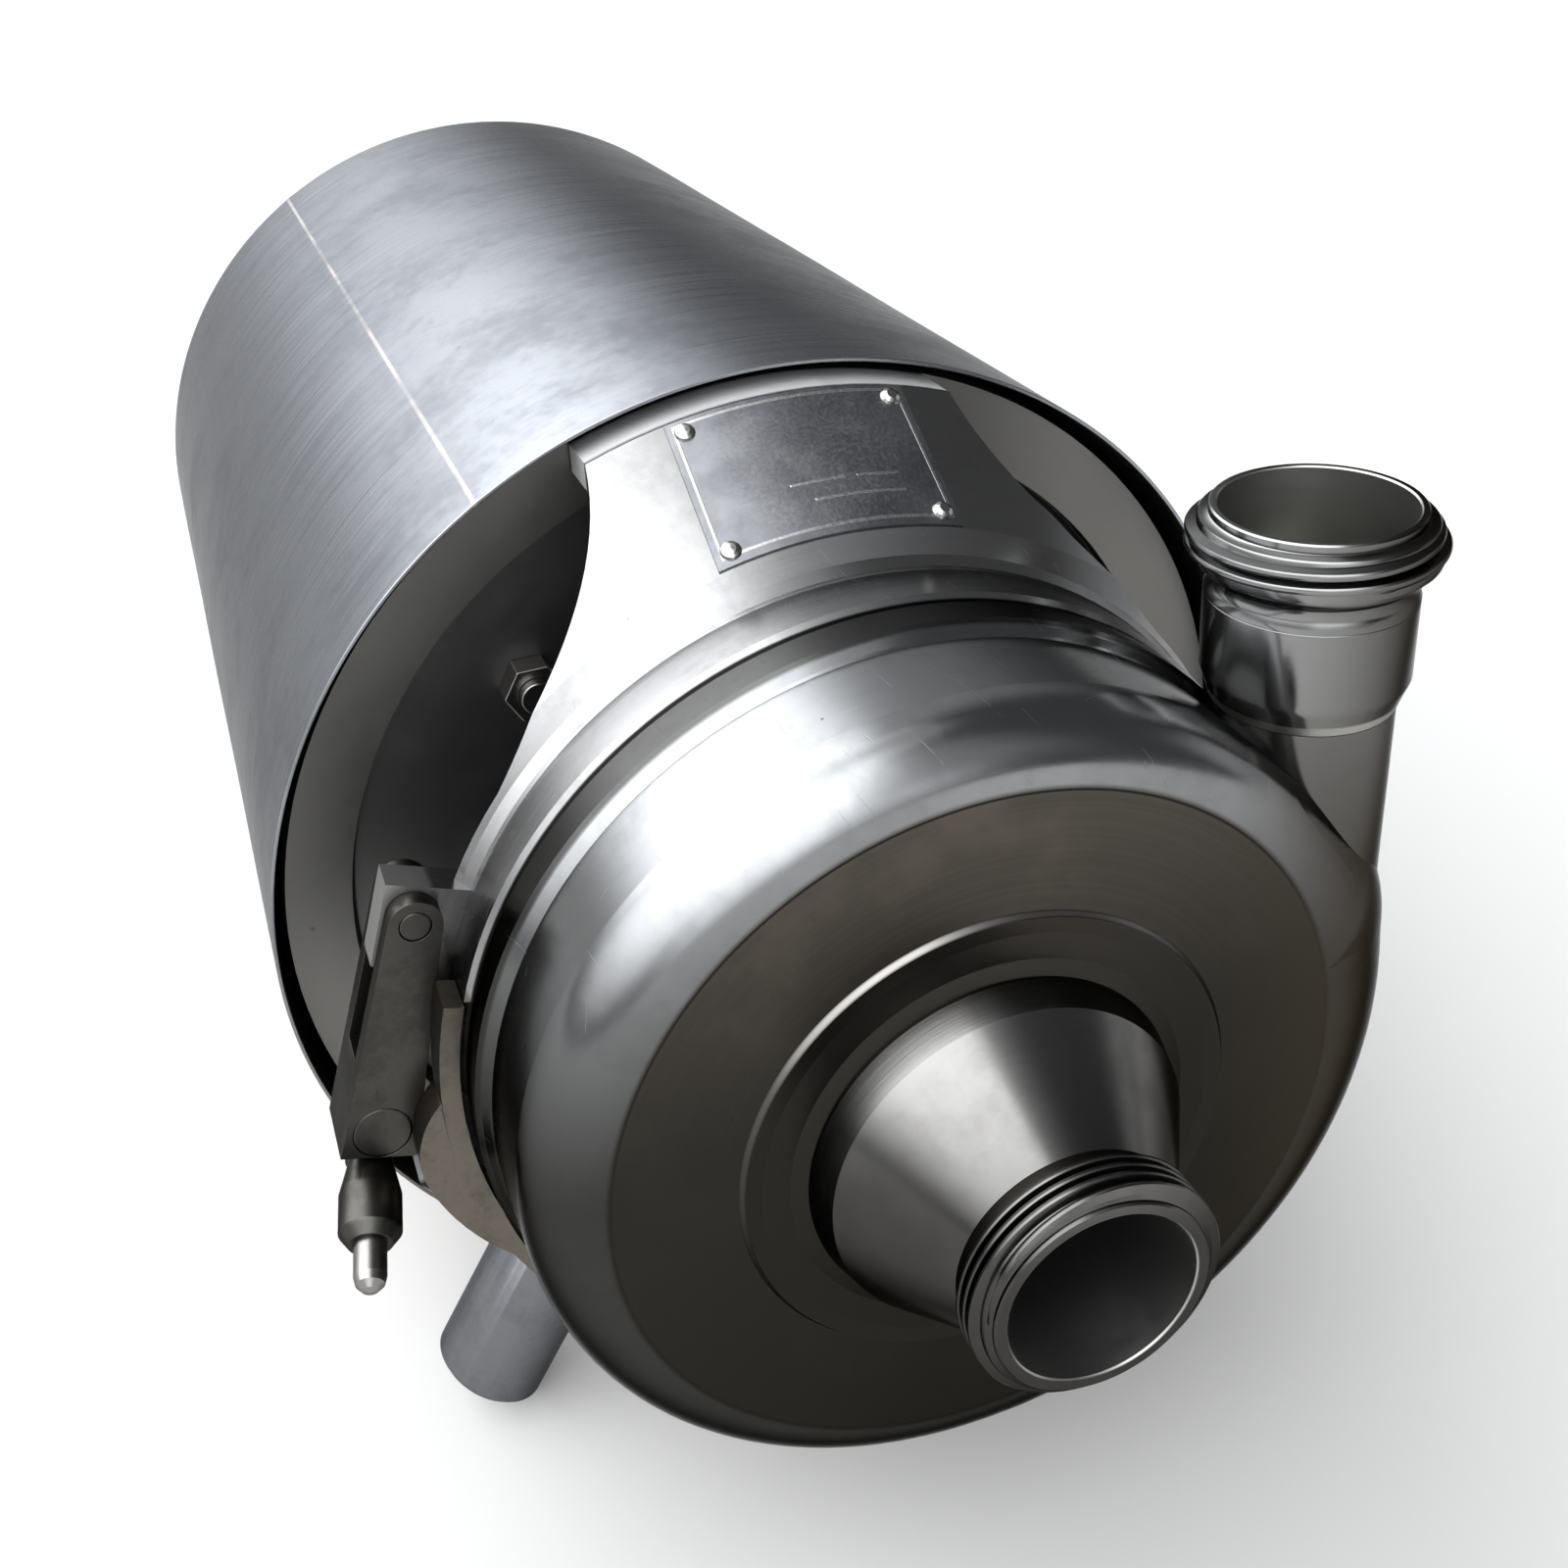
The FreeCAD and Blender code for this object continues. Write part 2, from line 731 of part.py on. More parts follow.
bell_outside = [
    ("bell_r - bell_edge", "rim_back_y + part_gap"),
    ("bell_r", "rim_back_y + part_gap + bell_edge"),
    ("bell_r", "bead_back_y"),
    ("bell_r + 0.12*bell_edge", "bead_back_y + 0.8*bell_edge"),
    ("fillet_r", "fillet_y"),
    ("cone_front_r", "cone_front_y"),
    ("cone_back_r", "cone_back_y"),
    ("cone_back_r", "flange_back_y - flange_edge"),
    ("cone_back_r - flange_edge", "flange_back_y"),
]
bell_inside = [
    ("web_hole_r", "flange_back_y"),
    ("web_hole_r", "web_front_y"),
    ("recess_r", "web_front_y"),
    ("recess_r", "flange_front_y"),
    ("cone_back_r - bell_wall", "flange_front_y"),
    ("cone_back_r - bell_wall", "cone_back_y + bell_step"),
    ("cone_front_r - bell_wall", "cone_front_y + bell_step"),
    ("bell_in_r", "bell_in_y"),
    ("bell_in_r", "rim_back_y + part_gap + plate_thick"),
    ("plate_r", "rim_back_y + part_gap + plate_thick"),
    ("plate_r", "rim_back_y + part_gap"),
]
bell = turned("bell", bell_outside + bell_inside)


def blank(name):
    """The bell's outside without its hollow, to cope the legs with."""
    return turned(name, bell_outside + [("0", "flange_back_y"), ("0", "rim_back_y + part_gap")])


def window(name, side):
    """A cut straight down through the bell wall, with a rounded saddle edge."""
    back = SHEET["flange_front_y"]
    beyond = amount("shroud_out_r")
    floor = SHEET["window_floor_z"]

    def spot(x, y):
        return Vector(side * x, y, floor)

    start = spot(SHEET["saddle_half"], SHEET["saddle_back_y"])
    end = spot(SHEET["saddle_foot_x"], SHEET["saddle_foot_y"])
    curve = Part.Arc(start, spot(SHEET["saddle_mid_x"], SHEET["saddle_mid_y"]), end).toShape()
    straight = Part.makePolygon([
        end, spot(beyond, SHEET["saddle_foot_y"]), spot(beyond, back),
        spot(SHEET["saddle_half"], back), start,
    ])
    item = doc.addObject("Part::Feature", name)
    edge = Part.Wire([curve] + straight.Edges)
    item.Shape = Part.Face(edge).extrude(Vector(0, 0, beyond - floor))
    return item


def around(reach, degrees):
    turn_by = math.radians(degrees)
    return (reach * math.cos(turn_by), reach * math.sin(turn_by))


lean = math.radians(SHEET["fork_lean"])
DOWN_FORK = Vector(-math.sin(lean), 0, -math.cos(lean))
ACROSS_FORK = Vector(math.cos(lean), 0, -math.sin(lean))
PIN = Vector(SHEET["pin_x"], 0, SHEET["pin_z"])


def on_fork(across, down):
    spot = PIN + ACROSS_FORK * across + DOWN_FORK * down
    return (spot.x, spot.z)


def past_bell(extra, degrees):
    return around(SHEET["bell_r"] + extra, degrees)


lug_root_r = SHEET["lug_root_r"]
clamp_lug = wedge("clamp_lug", [
    past_bell(1.2, 152.8),
    on_fork(-SHEET["lug_side"], -SHEET["lug_above"]),
    on_fork(-SHEET["lug_side"] - 0.9, SHEET["lug_below"]),
    on_fork(-2.0, SHEET["lug_below"] + 4.1),
    past_bell(1.9, 166.6),
    around(lug_root_r, 162.6),
    around(lug_root_r, 152.5),
], "lug_front_y", "lug_front_y + lug_thick")
hinge_deg = SHEET["hinge_deg"]
hinge_root_r = SHEET["hinge_root_r"]
hinge_spot = around(SHEET["hinge_reach"], hinge_deg)
hinge_words = ("%.6f" % hinge_spot[0], "%.6f" % hinge_spot[1])
knuckle_start = "strap_front_y + knuckle_len + part_gap"
hinge_lug = joined("hinge_lug", [
    wedge("hinge_lug_web", [
        around(hinge_root_r, hinge_deg - 3.1),
        around(SHEET["hinge_reach"] - 3.5, hinge_deg - 2.4),
        around(SHEET["web_reach"], hinge_deg - 0.2),
        around(SHEET["hinge_reach"] - 3.0, hinge_deg + 3.4),
        around(hinge_root_r, hinge_deg + 4.0),
    ], knuckle_start, "strap_front_y + hinge_len"),
    cylinder("hinge_lug_eye", "knuckle_r", "hinge_len - knuckle_len - part_gap",
             (hinge_words[0], knuckle_start, hinge_words[1])),
])


def stud_spots():
    return [around(SHEET["stud_circle_r"], 45 + 90 * index) for index in range(4)]


def ring_of(name, radius, length, start):
    """Four like round bars on the stud circle."""
    bars = []
    for index, (x, z) in enumerate(stud_spots()):
        bars.append(cylinder("%s_%d" % (name, index + 1), radius, length,
                             ("%.6f" % x, start, "%.6f" % z)))
    return joined(name, bars)


adaptor_solid = joined("adaptor_solid", [
    less("bell_cut", less("bell_cut_left", bell, window("window_left", -1)),
         window("window_right", 1)),
    clamp_lug,
    hinge_lug,
])
adaptor_holes = joined("adaptor_holes", [
    ring_of("adaptor_stud_holes", "stud_r", "drill_len", "web_front_y - drill_over"),
    cylinder("lug_hole", "pin_r", "lug_thick + 2*drill_over",
             ("pin_x", "lug_front_y - drill_over", "pin_z")),
    cylinder("hinge_hole", "hinge_pin_r", "hinge_len + 2*drill_over",
             (hinge_words[0], "strap_front_y - drill_over", hinge_words[1])),
])
node(less("adaptor", adaptor_solid, adaptor_holes), "adaptor")

node(ring_of("flange_studs", "stud_r",
             "flange_back_y + shield_plate - stud_front_y", "stud_front_y"), "flange_studs")


def nuts(name):
    rings = []
    for index, (x, z) in enumerate(stud_spots()):
        hexagon = doc.addObject("Part::Prism", "%s_%d" % (name, index + 1))
        hexagon.Polygon = 6
        hexagon.Circumradius = SHEET["nut_flats"] / math.sqrt(3)
        bind(hexagon, "Height", "nut_thick")
        place(hexagon, ("%.6f" % x, "web_front_y - nut_thick", "%.6f" % z), BACKWARD)
        rings.append(hexagon)
    return less(name, joined(name + "_blank", rings),
                ring_of(name + "_bore", "stud_r", "nut_thick + 2*drill_over",
                        "web_front_y - nut_thick - drill_over"))


node(nuts("flange_nuts"), "flange_nuts")

# Nameplate and its rivets

slope = math.atan2(SHEET["cone_back_r"] - SHEET["cone_front_r"],
                   SHEET["cone_back_y"] - SHEET["cone_front_y"])
lift_r = "%.6f" % math.cos(slope)
lift_y = "%.6f" % math.sin(slope)
run_r = "%.6f" % math.sin(slope)
run_y = "%.6f" % math.cos(slope)


def over_cone(end, sign, lifts):
    """A point near one end of the cone, lifted off it by some named lengths."""
    radius = "cone_%s_r %s %s*nameplate_margin" % (end, sign, run_r)
    height = "cone_%s_y %s %s*nameplate_margin" % (end, sign, run_y)
    for lift in lifts:
        radius += " + %s*%s" % (lift_r, lift)
        height += " - %s*%s" % (lift_y, lift)
    return radius, height


under = ["nameplate_gap"]
over = ["nameplate_gap", "nameplate_thick"]
plate_shell = turned("nameplate_shell", [
    over_cone("front", "+", under), over_cone("back", "-", under),
    over_cone("back", "-", over), over_cone("front", "+", over),
])
plate_window = block("nameplate_window", ("nameplate_w", "4*drill_len", "cone_back_r"),
                     ("nameplate_x - 0.5*nameplate_w", "cone_front_y - 0.5*drill_len",
                      "0.5*cone_back_r"))
nameplate = doc.addObject("Part::Common", "nameplate")
nameplate.Base = plate_shell
nameplate.Tool = plate_window
node(nameplate, "nameplate")


def rivets(name):
    """Domed rivets square to the cone near the plate's corners."""
    items = []
    front_r = SHEET["cone_front_r"]
    front_y = SHEET["cone_front_y"]
    slant = math.hypot(SHEET["cone_back_r"] - front_r, SHEET["cone_back_y"] - front_y)
    inset = SHEET["rivet_inset"]
    for side in (-1, 1):
        x = SHEET["nameplate_x"] + side * (0.5 * SHEET["nameplate_w"] - inset)
        for along in (inset, slant - inset):
            reach = front_r + along * math.sin(slope)
            height = math.sqrt(reach * reach - x * x)
            outward = Vector(x / reach * math.cos(slope), -math.sin(slope),
                             height / reach * math.cos(slope))
            spot = Vector(x, front_y + along * math.cos(slope), height)
            spot = spot + outward * amount("nameplate_gap + nameplate_thick")
            item = turned("%s_%d" % (name, len(items) + 1), [
                ("0", "-rivet_shank_len"),
                ("rivet_shank_r", "-rivet_shank_len"),
                ("rivet_shank_r", "0"),
                ("rivet_head_r", "0"),
                ("0.86*rivet_head_r", "0.5*rivet_head_len"),
                ("0.5*rivet_head_r", "0.88*rivet_head_len"),
                ("0", "rivet_head_len"),
            ], True)
            item.Placement = Placement(spot, Rotation(Vector(0, 0, 1), outward))
            items.append(item)
    return joined(name, items)


node(rivets("nameplate_rivets"), "nameplate_rivets")

# Clamp fork with its pin, trunnion and screw

fork_blank = joined("fork_blank", [
    wedge("fork_plate_shape", [
        on_fork(-SHEET["fork_top_half"], 0), on_fork(SHEET["fork_top_half"], 0),
        on_fork(SHEET["fork_foot_half"], SHEET["fork_len"]),
        on_fork(-SHEET["fork_foot_half"], SHEET["fork_len"]),
    ], "fork_front_y", "fork_front_y + fork_depth"),
    cylinder("fork_top", "fork_top_half", "fork_depth", ("pin_x", "fork_front_y", "pin_z")),
])
fork_beyond = 2 * SHEET["fork_foot_half"]
fork_cuts = joined("fork_cuts", [
    wedge("fork_slot", [
        on_fork(-fork_beyond, -fork_beyond), on_fork(fork_beyond, -fork_beyond),
        on_fork(fork_beyond, SHEET["fork_slot_len"]),
        on_fork(-fork_beyond, SHEET["fork_slot_len"]),
    ], "fork_front_y + fork_plate", "fork_front_y + fork_depth - fork_plate"),
    cylinder("fork_eye", "pin_r + run_gap", "fork_depth + 2*drill_over",
             ("pin_x", "fork_front_y - drill_over", "pin_z")),
])
trunnion_spot = on_fork(0, SHEET["trunnion_down"])
trunnion_words = ("%.6f" % trunnion_spot[0], "%.6f" % trunnion_spot[1])
trunnion_hole = cylinder("trunnion_hole", "trunnion_r", "fork_depth + 2*drill_over",
                         (trunnion_words[0], "fork_front_y - drill_over", trunnion_words[1]))
node(less("clamp_fork", less("fork_open", fork_blank, fork_cuts), trunnion_hole), "clamp_fork")

node(cylinder("lug_pin", "pin_r", "fork_depth", ("pin_x", "fork_front_y", "pin_z")), "lug_pin")
node(cylinder("trunnion", "trunnion_r", "fork_depth",
              (trunnion_words[0], "fork_front_y", trunnion_words[1])), "trunnion")

screw_spot = on_fork(0, SHEET["fork_len"])
fork_mid_y = "fork_front_y + 0.5*fork_depth"
down_turn = Rotation(Vector(0, 0, 1), DOWN_FORK)
screw_at = ("%.6f" % screw_spot[0], fork_mid_y, "%.6f" % screw_spot[1])
node(cylinder("clamp_screw", "screw_r", "screw_len", screw_at, down_turn), "clamp_screw")

# Clamp lever, a boss and rod that turn on the screw

LEVER_TO_FRONT = Vector(-0.2, -0.942, -0.27).normalize()
lever_turn = Rotation(Vector(0, 0, 1), LEVER_TO_FRONT)
lever_spot = on_fork(0, SHEET["lever_down"])
lever_at = ("%.6f" % lever_spot[0], fork_mid_y, "%.6f" % lever_spot[1])
hub_spot = on_fork(0, SHEET["fork_len"] + SHEET["part_gap"])
hub_at = ("%.6f" % hub_spot[0], fork_mid_y, "%.6f" % hub_spot[1])
lever_profile = [
    ("0", "0"),
    ("lever_neck_r", "0"),
    ("lever_neck_r", "lever_neck_len"),
    ("lever_swell_r", "lever_swell_start"),
    ("lever_swell_r", "lever_swell_end"),
    ("lever_tip_r", "lever_boss_len"),
    ("0", "lever_boss_len"),
]
lever_arm = turned("lever_arm", lever_profile, True, lever_at, lever_turn)
up_turn = Rotation(Vector(0, 0, 1), -DOWN_FORK)
lever_above = cylinder("lever_above", "drill_len", "drill_len", screw_at, up_turn)
lever_hub = cylinder("lever_hub", "hub_r", "hub_len", hub_at, down_turn)
lever_bore = cylinder("lever_bore", "screw_r + run_gap", "screw_len + 2*part_gap", screw_at,
                      down_turn)
lever_gap = cylinder("lever_gap", "drill_len", "part_gap", screw_at, down_turn)
node(less("clamp_lever_boss", joined("lever_blank", [lever_arm, lever_hub]),
          joined("lever_cuts", [lever_above, lever_bore, lever_gap])), "clamp_lever_boss")

rod_profile = [
    ("0", "lever_boss_len"),
    ("rod_r", "lever_boss_len"),
    ("rod_r", "lever_boss_len + rod_len - rod_r"),
    ("0.87*rod_r", "lever_boss_len + rod_len - 0.5*rod_r"),
    ("0.5*rod_r", "lever_boss_len + rod_len - 0.13*rod_r"),
    ("0", "lever_boss_len + rod_len"),
]
node(turned("clamp_lever_rod", rod_profile, True, lever_at, lever_turn), "clamp_lever_rod")

# Clamp strap and its hinge pin


def in_strap(reach, degrees):
    x, z = around(reach, degrees)
    return Vector(x, SHEET["strap_front_y"], z)


def bend(start, middle, end):
    """An arc through three (reach, degrees) spots."""
    return Part.Arc(in_strap(*start), in_strap(*middle), in_strap(*end)).toShape()


def strap_slice(name, edges, start, length):
    """A slice of the strap from the edges of its outline."""
    item = doc.addObject("Part::Feature", name)
    face = Part.Face(Part.Wire(edges))
    face.translate(Vector(0, amount(start), 0))
    item.Shape = face.extrude(Vector(0, amount(length), 0))
    return item


strap_in = amount("bell_r + strap_gap")
strap_out = strap_in + SHEET["strap_thick"]
first_deg = SHEET["strap_left_deg"]
last_deg = SHEET["strap_right_deg"]
mid_deg = (first_deg + last_deg) / 2
strap_band = strap_slice("strap_band", [
    bend((strap_in, first_deg), (strap_in, mid_deg), (strap_in, last_deg)),
    Part.makeLine(in_strap(strap_in, last_deg), in_strap(strap_out, last_deg)),
    bend((strap_out, last_deg), (strap_out, mid_deg), (strap_out, first_deg)),
    Part.makeLine(in_strap(strap_out, first_deg), in_strap(strap_in, first_deg)),
], "0", "strap_width")

ear_base = strap_in + SHEET["ear_step"]
ear_start = (ear_base, SHEET["ear_start_deg"])
ear_peak = (SHEET["ear_reach"], SHEET["ear_peak_deg"])
ear_end = (ear_base, SHEET["ear_end_deg"])
strap_ear = strap_slice("strap_ear", [
    bend(ear_start, (SHEET["ear_reach"] - 4.8, SHEET["ear_peak_deg"] - 8.0), ear_peak),
    bend(ear_peak, (SHEET["ear_reach"] - 5.0, SHEET["ear_peak_deg"] + 10.0), ear_end),
    bend(ear_end, (ear_base, SHEET["ear_peak_deg"]), ear_start),
], "ear_step", "strap_width - ear_step")

strap_blank = joined("strap_blank", [
    strap_band,
    strap_ear,
    wedge("strap_knuckle_web", [
        around(strap_in + 0.2, hinge_deg - 6.5), around(strap_out, hinge_deg - 6.5),
        around(SHEET["web_reach"], hinge_deg - 2.1), around(SHEET["web_reach"], hinge_deg + 1.5),
        around(strap_in + 5.0, hinge_deg + 1.5), around(strap_in + 0.2, hinge_deg - 1.0),
    ], "strap_front_y", "strap_front_y + knuckle_len"),
    cylinder("strap_eye", "knuckle_r", "knuckle_len",
             (hinge_words[0], "strap_front_y", hinge_words[1])),
])
strap_hole = cylinder("strap_hole", "hinge_pin_r + run_gap", "knuckle_len + 2*drill_over",
                      (hinge_words[0], "strap_front_y - drill_over", hinge_words[1]))
node(less("clamp_strap", strap_blank, strap_hole), "clamp_strap")
node(cylinder("strap_hinge_pin", "hinge_pin_r", "hinge_len",
              (hinge_words[0], "strap_front_y", hinge_words[1])), "strap_hinge_pin")

# Legs and rear foot

leg_profile = [
    ("0", "0"),
    ("leg_r - leg_chamfer", "0"),
    ("leg_r", "leg_chamfer"),
    ("leg_r", "leg_len"),
    ("0", "leg_len"),
]
for side, word in ((-1, "left"), (1, "right")):
    splay = math.radians(SHEET["leg_splay"])
    leg_turn = Rotation(Vector(0, 0, 1), Vector(-side * math.sin(splay), 0, math.cos(splay)))
    leg_at = (("-" if side < 0 else "") + "leg_x", "leg_y", "leg_rise - shroud_out_r")
    leg = turned("leg_%s" % word, leg_profile, True, leg_at, leg_turn)
    node(less("front_leg_%s" % word, leg, blank("bell_blank_%s" % word)), "front_leg_%s" % word)

foot_block = block("foot_block", ("2*foot_half_w", "foot_len", "foot_clear + foot_hold"),
                   ("-foot_half_w", "foot_y", "floor_z"))
foot_cut = cylinder("foot_cut", "shroud_out_r", "foot_len + 2*drill_over",
                    ("0", "foot_y - drill_over", "0"))
node(less("rear_foot", foot_block, foot_cut), "rear_foot")

# Impeller with curved vanes

impeller = turned("impeller", [
    ("hub_bore_r", "hub_front_y"),
    ("hub_out_r", "hub_front_y"),
    ("hub_out_r + hub_fillet", "impeller_back_y - impeller_disc"),
    ("impeller_r", "impeller_back_y - impeller_disc"),
    ("impeller_r", "impeller_back_y"),
    ("hub_bore_r", "impeller_back_y"),
])


def vane(body, name):
    """One vane that sweeps back from the hub to the disc's edge."""
    sketch = new_sketch(body, name + "_outline", "XZ_Plane")
    sketch.AttachmentOffset = Placement(Vector(0, 0, -SHEET["vane_front_y"]), Rotation())
    sketch.setExpression("AttachmentOffset.Base.z", "-Size.vane_front_y")
    arc_r = SHEET["vane_arc_r"]
    thick = SHEET["vane_thick"]
    lead = math.radians(SHEET["vane_lead_deg"])
    start = Vector(SHEET["vane_start_r"], 0, 0)
    centre = Vector(start.x + arc_r * math.cos(lead),
                    -arc_r * math.sin(lead) - SHEET["vane_drop"], 0)
    first = math.atan2(start.y - centre.y, start.x - centre.x)

    def spot(radius, angle):
        return centre + Vector(radius * math.cos(angle), radius * math.sin(angle), 0)

    last = first
    while spot(arc_r, last - 0.01).Length < amount("impeller_r - vane_inset"):
        last -= 0.01
    outer_r = arc_r + 0.5 * thick
    inner_r = arc_r - 0.5 * thick
    middle = (first + last) / 2
    pieces = [
        Part.Arc(spot(outer_r, first), spot(outer_r, middle), spot(outer_r, last)),
        Part.LineSegment(spot(outer_r, last), spot(inner_r, last)),
        Part.Arc(spot(inner_r, last), spot(inner_r, middle), spot(inner_r, first)),
        Part.LineSegment(spot(inner_r, first), spot(outer_r, first)),
    ]
    for piece in pieces:
        sketch.addGeometry(piece, False)
    pad = body.newObject("PartDesign::Pad", name)
    pad.Profile = sketch
    pad.Reversed = True
    bind(pad, "Length", "impeller_back_y - impeller_disc - vane_front_y + vane_sink")
    return pad


first_vane = vane(impeller, "vane")
doc.recompute()
patterned(impeller, "vanes", first_vane, "vane_count")
node(impeller, "impeller")

nut_profile = [
    ("0", "nut_front_y"),
    ("0.7*nut_r", "nut_front_y + nut_nose_len"),
    ("nut_r", "nut_front_y + nut_dome_len"),
    ("nut_r", "hub_front_y"),
    ("shaft_tip_r", "hub_front_y"),
    ("shaft_tip_r", "shaft_tip_y"),
    ("0", "shaft_tip_y"),
]
node(turned("impeller_nut", nut_profile), "impeller_nut")

shaft_profile = [
    ("0", "shaft_tip_y"),
    ("shaft_tip_r", "shaft_tip_y"),
    ("shaft_tip_r", "hub_front_y"),
    ("hub_bore_r", "hub_front_y"),
    ("hub_bore_r", "impeller_back_y"),
    ("shaft_r", "impeller_back_y"),
    ("shaft_r", "coupling_y"),
    ("coupling_r", "coupling_y"),
    ("coupling_r", "coupling_back_y"),
    ("motor_shaft_r", "coupling_back_y"),
    ("motor_shaft_r", "coupling_bore_y"),
    ("0", "coupling_bore_y"),
]
node(turned("pump_shaft", shaft_profile), "pump_shaft")

# Turning seal parts, slinger and shaft clamp ring

seal_y = "rim_back_y + 2*part_gap + seat_len"
boot_y = seal_y + " + seal_len"
collar_y = boot_y + " + boot_len"


def sleeve(name, inner, outer, start, length):
    return node(turned(name, [(inner, start), (outer, start), (outer, start + " + " + length),
                              (inner, start + " + " + length)]), name)


sleeve("seal_face", "shaft_r", "seal_r", seal_y, "seal_len")
boot_outside = []
boot_steps = 2 * int(SHEET["boot_folds"])
for step in range(boot_steps + 1):
    boot_outside.append(("boot_r" if step % 2 == 0 else "boot_waist_r",
                         boot_y + " + %.4f*boot_len" % (step / boot_steps)))
node(turned("seal_boot", [("shaft_r", boot_y)] + boot_outside + [("shaft_r", collar_y)]),
     "seal_boot")
sleeve("seal_collar", "shaft_r", "seal_collar_r", collar_y, "seal_collar_len")
sleeve("slinger", "shaft_r", "slinger_r", "slinger_y", "slinger_thick")
sleeve("shaft_clamp_ring", "coupling_r", "clamp_ring_r", "clamp_ring_y", "clamp_ring_len")

# Motor

motor_shaft_profile = [
    ("0", "coupling_bore_y"),
    ("motor_shaft_r", "coupling_bore_y"),
    ("motor_shaft_r", "front_bearing_y - 2"),
    ("journal_r", "front_bearing_y - 2"),
    ("journal_r", "front_bearing_y + bearing_len + 1"),
    ("core_shaft_r", "front_bearing_y + bearing_len + 1"),
    ("core_shaft_r", "rear_bearing_y - 1"),
    ("journal_r", "rear_bearing_y - 1"),
    ("journal_r", "rear_bearing_y + bearing_len + 2"),
    ("motor_shaft_r", "rear_bearing_y + bearing_len + 2"),
    ("motor_shaft_r", "motor_shaft_end_y"),
    ("0", "motor_shaft_end_y"),
]
node(turned("motor_shaft", motor_shaft_profile), "motor_shaft")
sleeve("rotor_core", "core_shaft_r", "core_r", "core_front_y", "core_back_y - core_front_y")
sleeve("stator_core", "stator_bore_r", "frame_bore_r", "core_front_y",
       "core_back_y - core_front_y")
sleeve("bearing_front", "journal_r + run_gap", "bearing_r", "front_bearing_y", "bearing_len")
sleeve("bearing_rear", "journal_r + run_gap", "bearing_r", "rear_bearing_y", "bearing_len")

front_shield_profile = [
    ("bearing_r", "flange_back_y"),
    ("fin_out_r", "flange_back_y"),
    ("fin_out_r", "flange_back_y + shield_rim"),
    ("shield_rim_r", "flange_back_y + shield_rim"),
    ("shield_rim_r", "flange_back_y + shield_plate"),
    ("shield_hub_r", "flange_back_y + shield_plate"),
    ("shield_hub_r", "flange_back_y + shield_len"),
    ("bearing_r", "flange_back_y + shield_len"),
]
front_shield = less("motor_front_shield", turned("front_shield_blank", front_shield_profile),
                    ring_of("shield_stud_holes", "stud_r", "drill_len",
                            "flange_back_y - drill_over"))
node(front_shield, "motor_front_shield")

rear_shield_profile = [
    ("bearing_r", "frame_back_y"),
    ("fin_out_r", "frame_back_y"),
    ("fin_out_r", "frame_back_y + shield_plate"),
    ("shield_hub_r", "frame_back_y + shield_plate"),
    ("shield_hub_r", "frame_back_y + shield_len - 4"),
    ("bearing_r", "frame_back_y + shield_len - 4"),
]
node(turned("motor_rear_shield", rear_shield_profile), "motor_rear_shield")

motor_frame = turned("motor_frame", [
    ("frame_bore_r", "frame_front_y"),
    ("frame_out_r", "frame_front_y"),
    ("frame_out_r", "frame_back_y"),
    ("frame_bore_r", "frame_back_y"),
])
fin = padded(motor_frame, "fin", [
    ("frame_out_r - fin_sink", "-0.5*fin_thick"), ("fin_out_r", "-0.5*fin_thick"),
    ("fin_out_r", "0.5*fin_thick"), ("frame_out_r - fin_sink", "0.5*fin_thick"),
], "frame_back_y - frame_front_y", start="frame_front_y")
doc.recompute()
patterned(motor_frame, "fins", fin, "fin_count")
node(motor_frame, "motor_frame")

fan = turned("fan", [
    ("motor_shaft_r", "fan_y"),
    ("fan_hub_r", "fan_y"),
    ("fan_hub_r", "fan_y + fan_blade_len"),
    ("fan_r", "fan_y + fan_blade_len"),
    ("fan_r", "fan_y + fan_blade_len + fan_disc"),
    ("motor_shaft_r", "fan_y + fan_blade_len + fan_disc"),
])
blade = padded(fan, "blade", [
    ("fan_hub_r - fan_blade_sink", "-0.5*fan_blade_thick"),
    ("fan_r - fan_edge", "-0.5*fan_blade_thick"),
    ("fan_r - fan_edge", "0.5*fan_blade_thick"),
    ("fan_hub_r - fan_blade_sink", "0.5*fan_blade_thick"),
], "fan_blade_len + 0.5*fan_edge", start="fan_y")
doc.recompute()
patterned(fan, "blades", blade, "fan_blade_count")
node(fan, "fan")

# Shroud, its brackets and slotted end

sleeve("shroud", "shroud_in_r", "shroud_out_r", "shroud_front_y",
       "shroud_back_y - shroud_front_y")

bracket_bars = []
for index in range(4):
    bar = block("bracket_%d" % (index + 1), ("shroud_out_r", "bracket_len", "bracket_thick"),
                ("0", "bracket_y", "0"))
    turn_by = 45 + 90 * index
    across = Rotation(Vector(0, 1, 0), -turn_by).multVec(Vector(0, 0, -0.5))
    bar.Placement = Placement(across * SHEET["bracket_thick"] + Vector(0, SHEET["bracket_y"], 0),
                              Rotation(Vector(0, 1, 0), -turn_by))
    bar.setExpression("Placement.Base.x", None)
    bar.setExpression("Placement.Base.z", None)
    bracket_bars.append(bar)
bracket_ring = turned("bracket_ring", [
    ("frame_out_r", "bracket_y"), ("shroud_in_r", "bracket_y"),
    ("shroud_in_r", "bracket_y + bracket_len"), ("frame_out_r", "bracket_y + bracket_len"),
])
brackets = doc.addObject("Part::Common", "shroud_brackets")
brackets.Base = joined("bracket_bars", bracket_bars)
brackets.Tool = bracket_ring
node(brackets, "shroud_brackets")

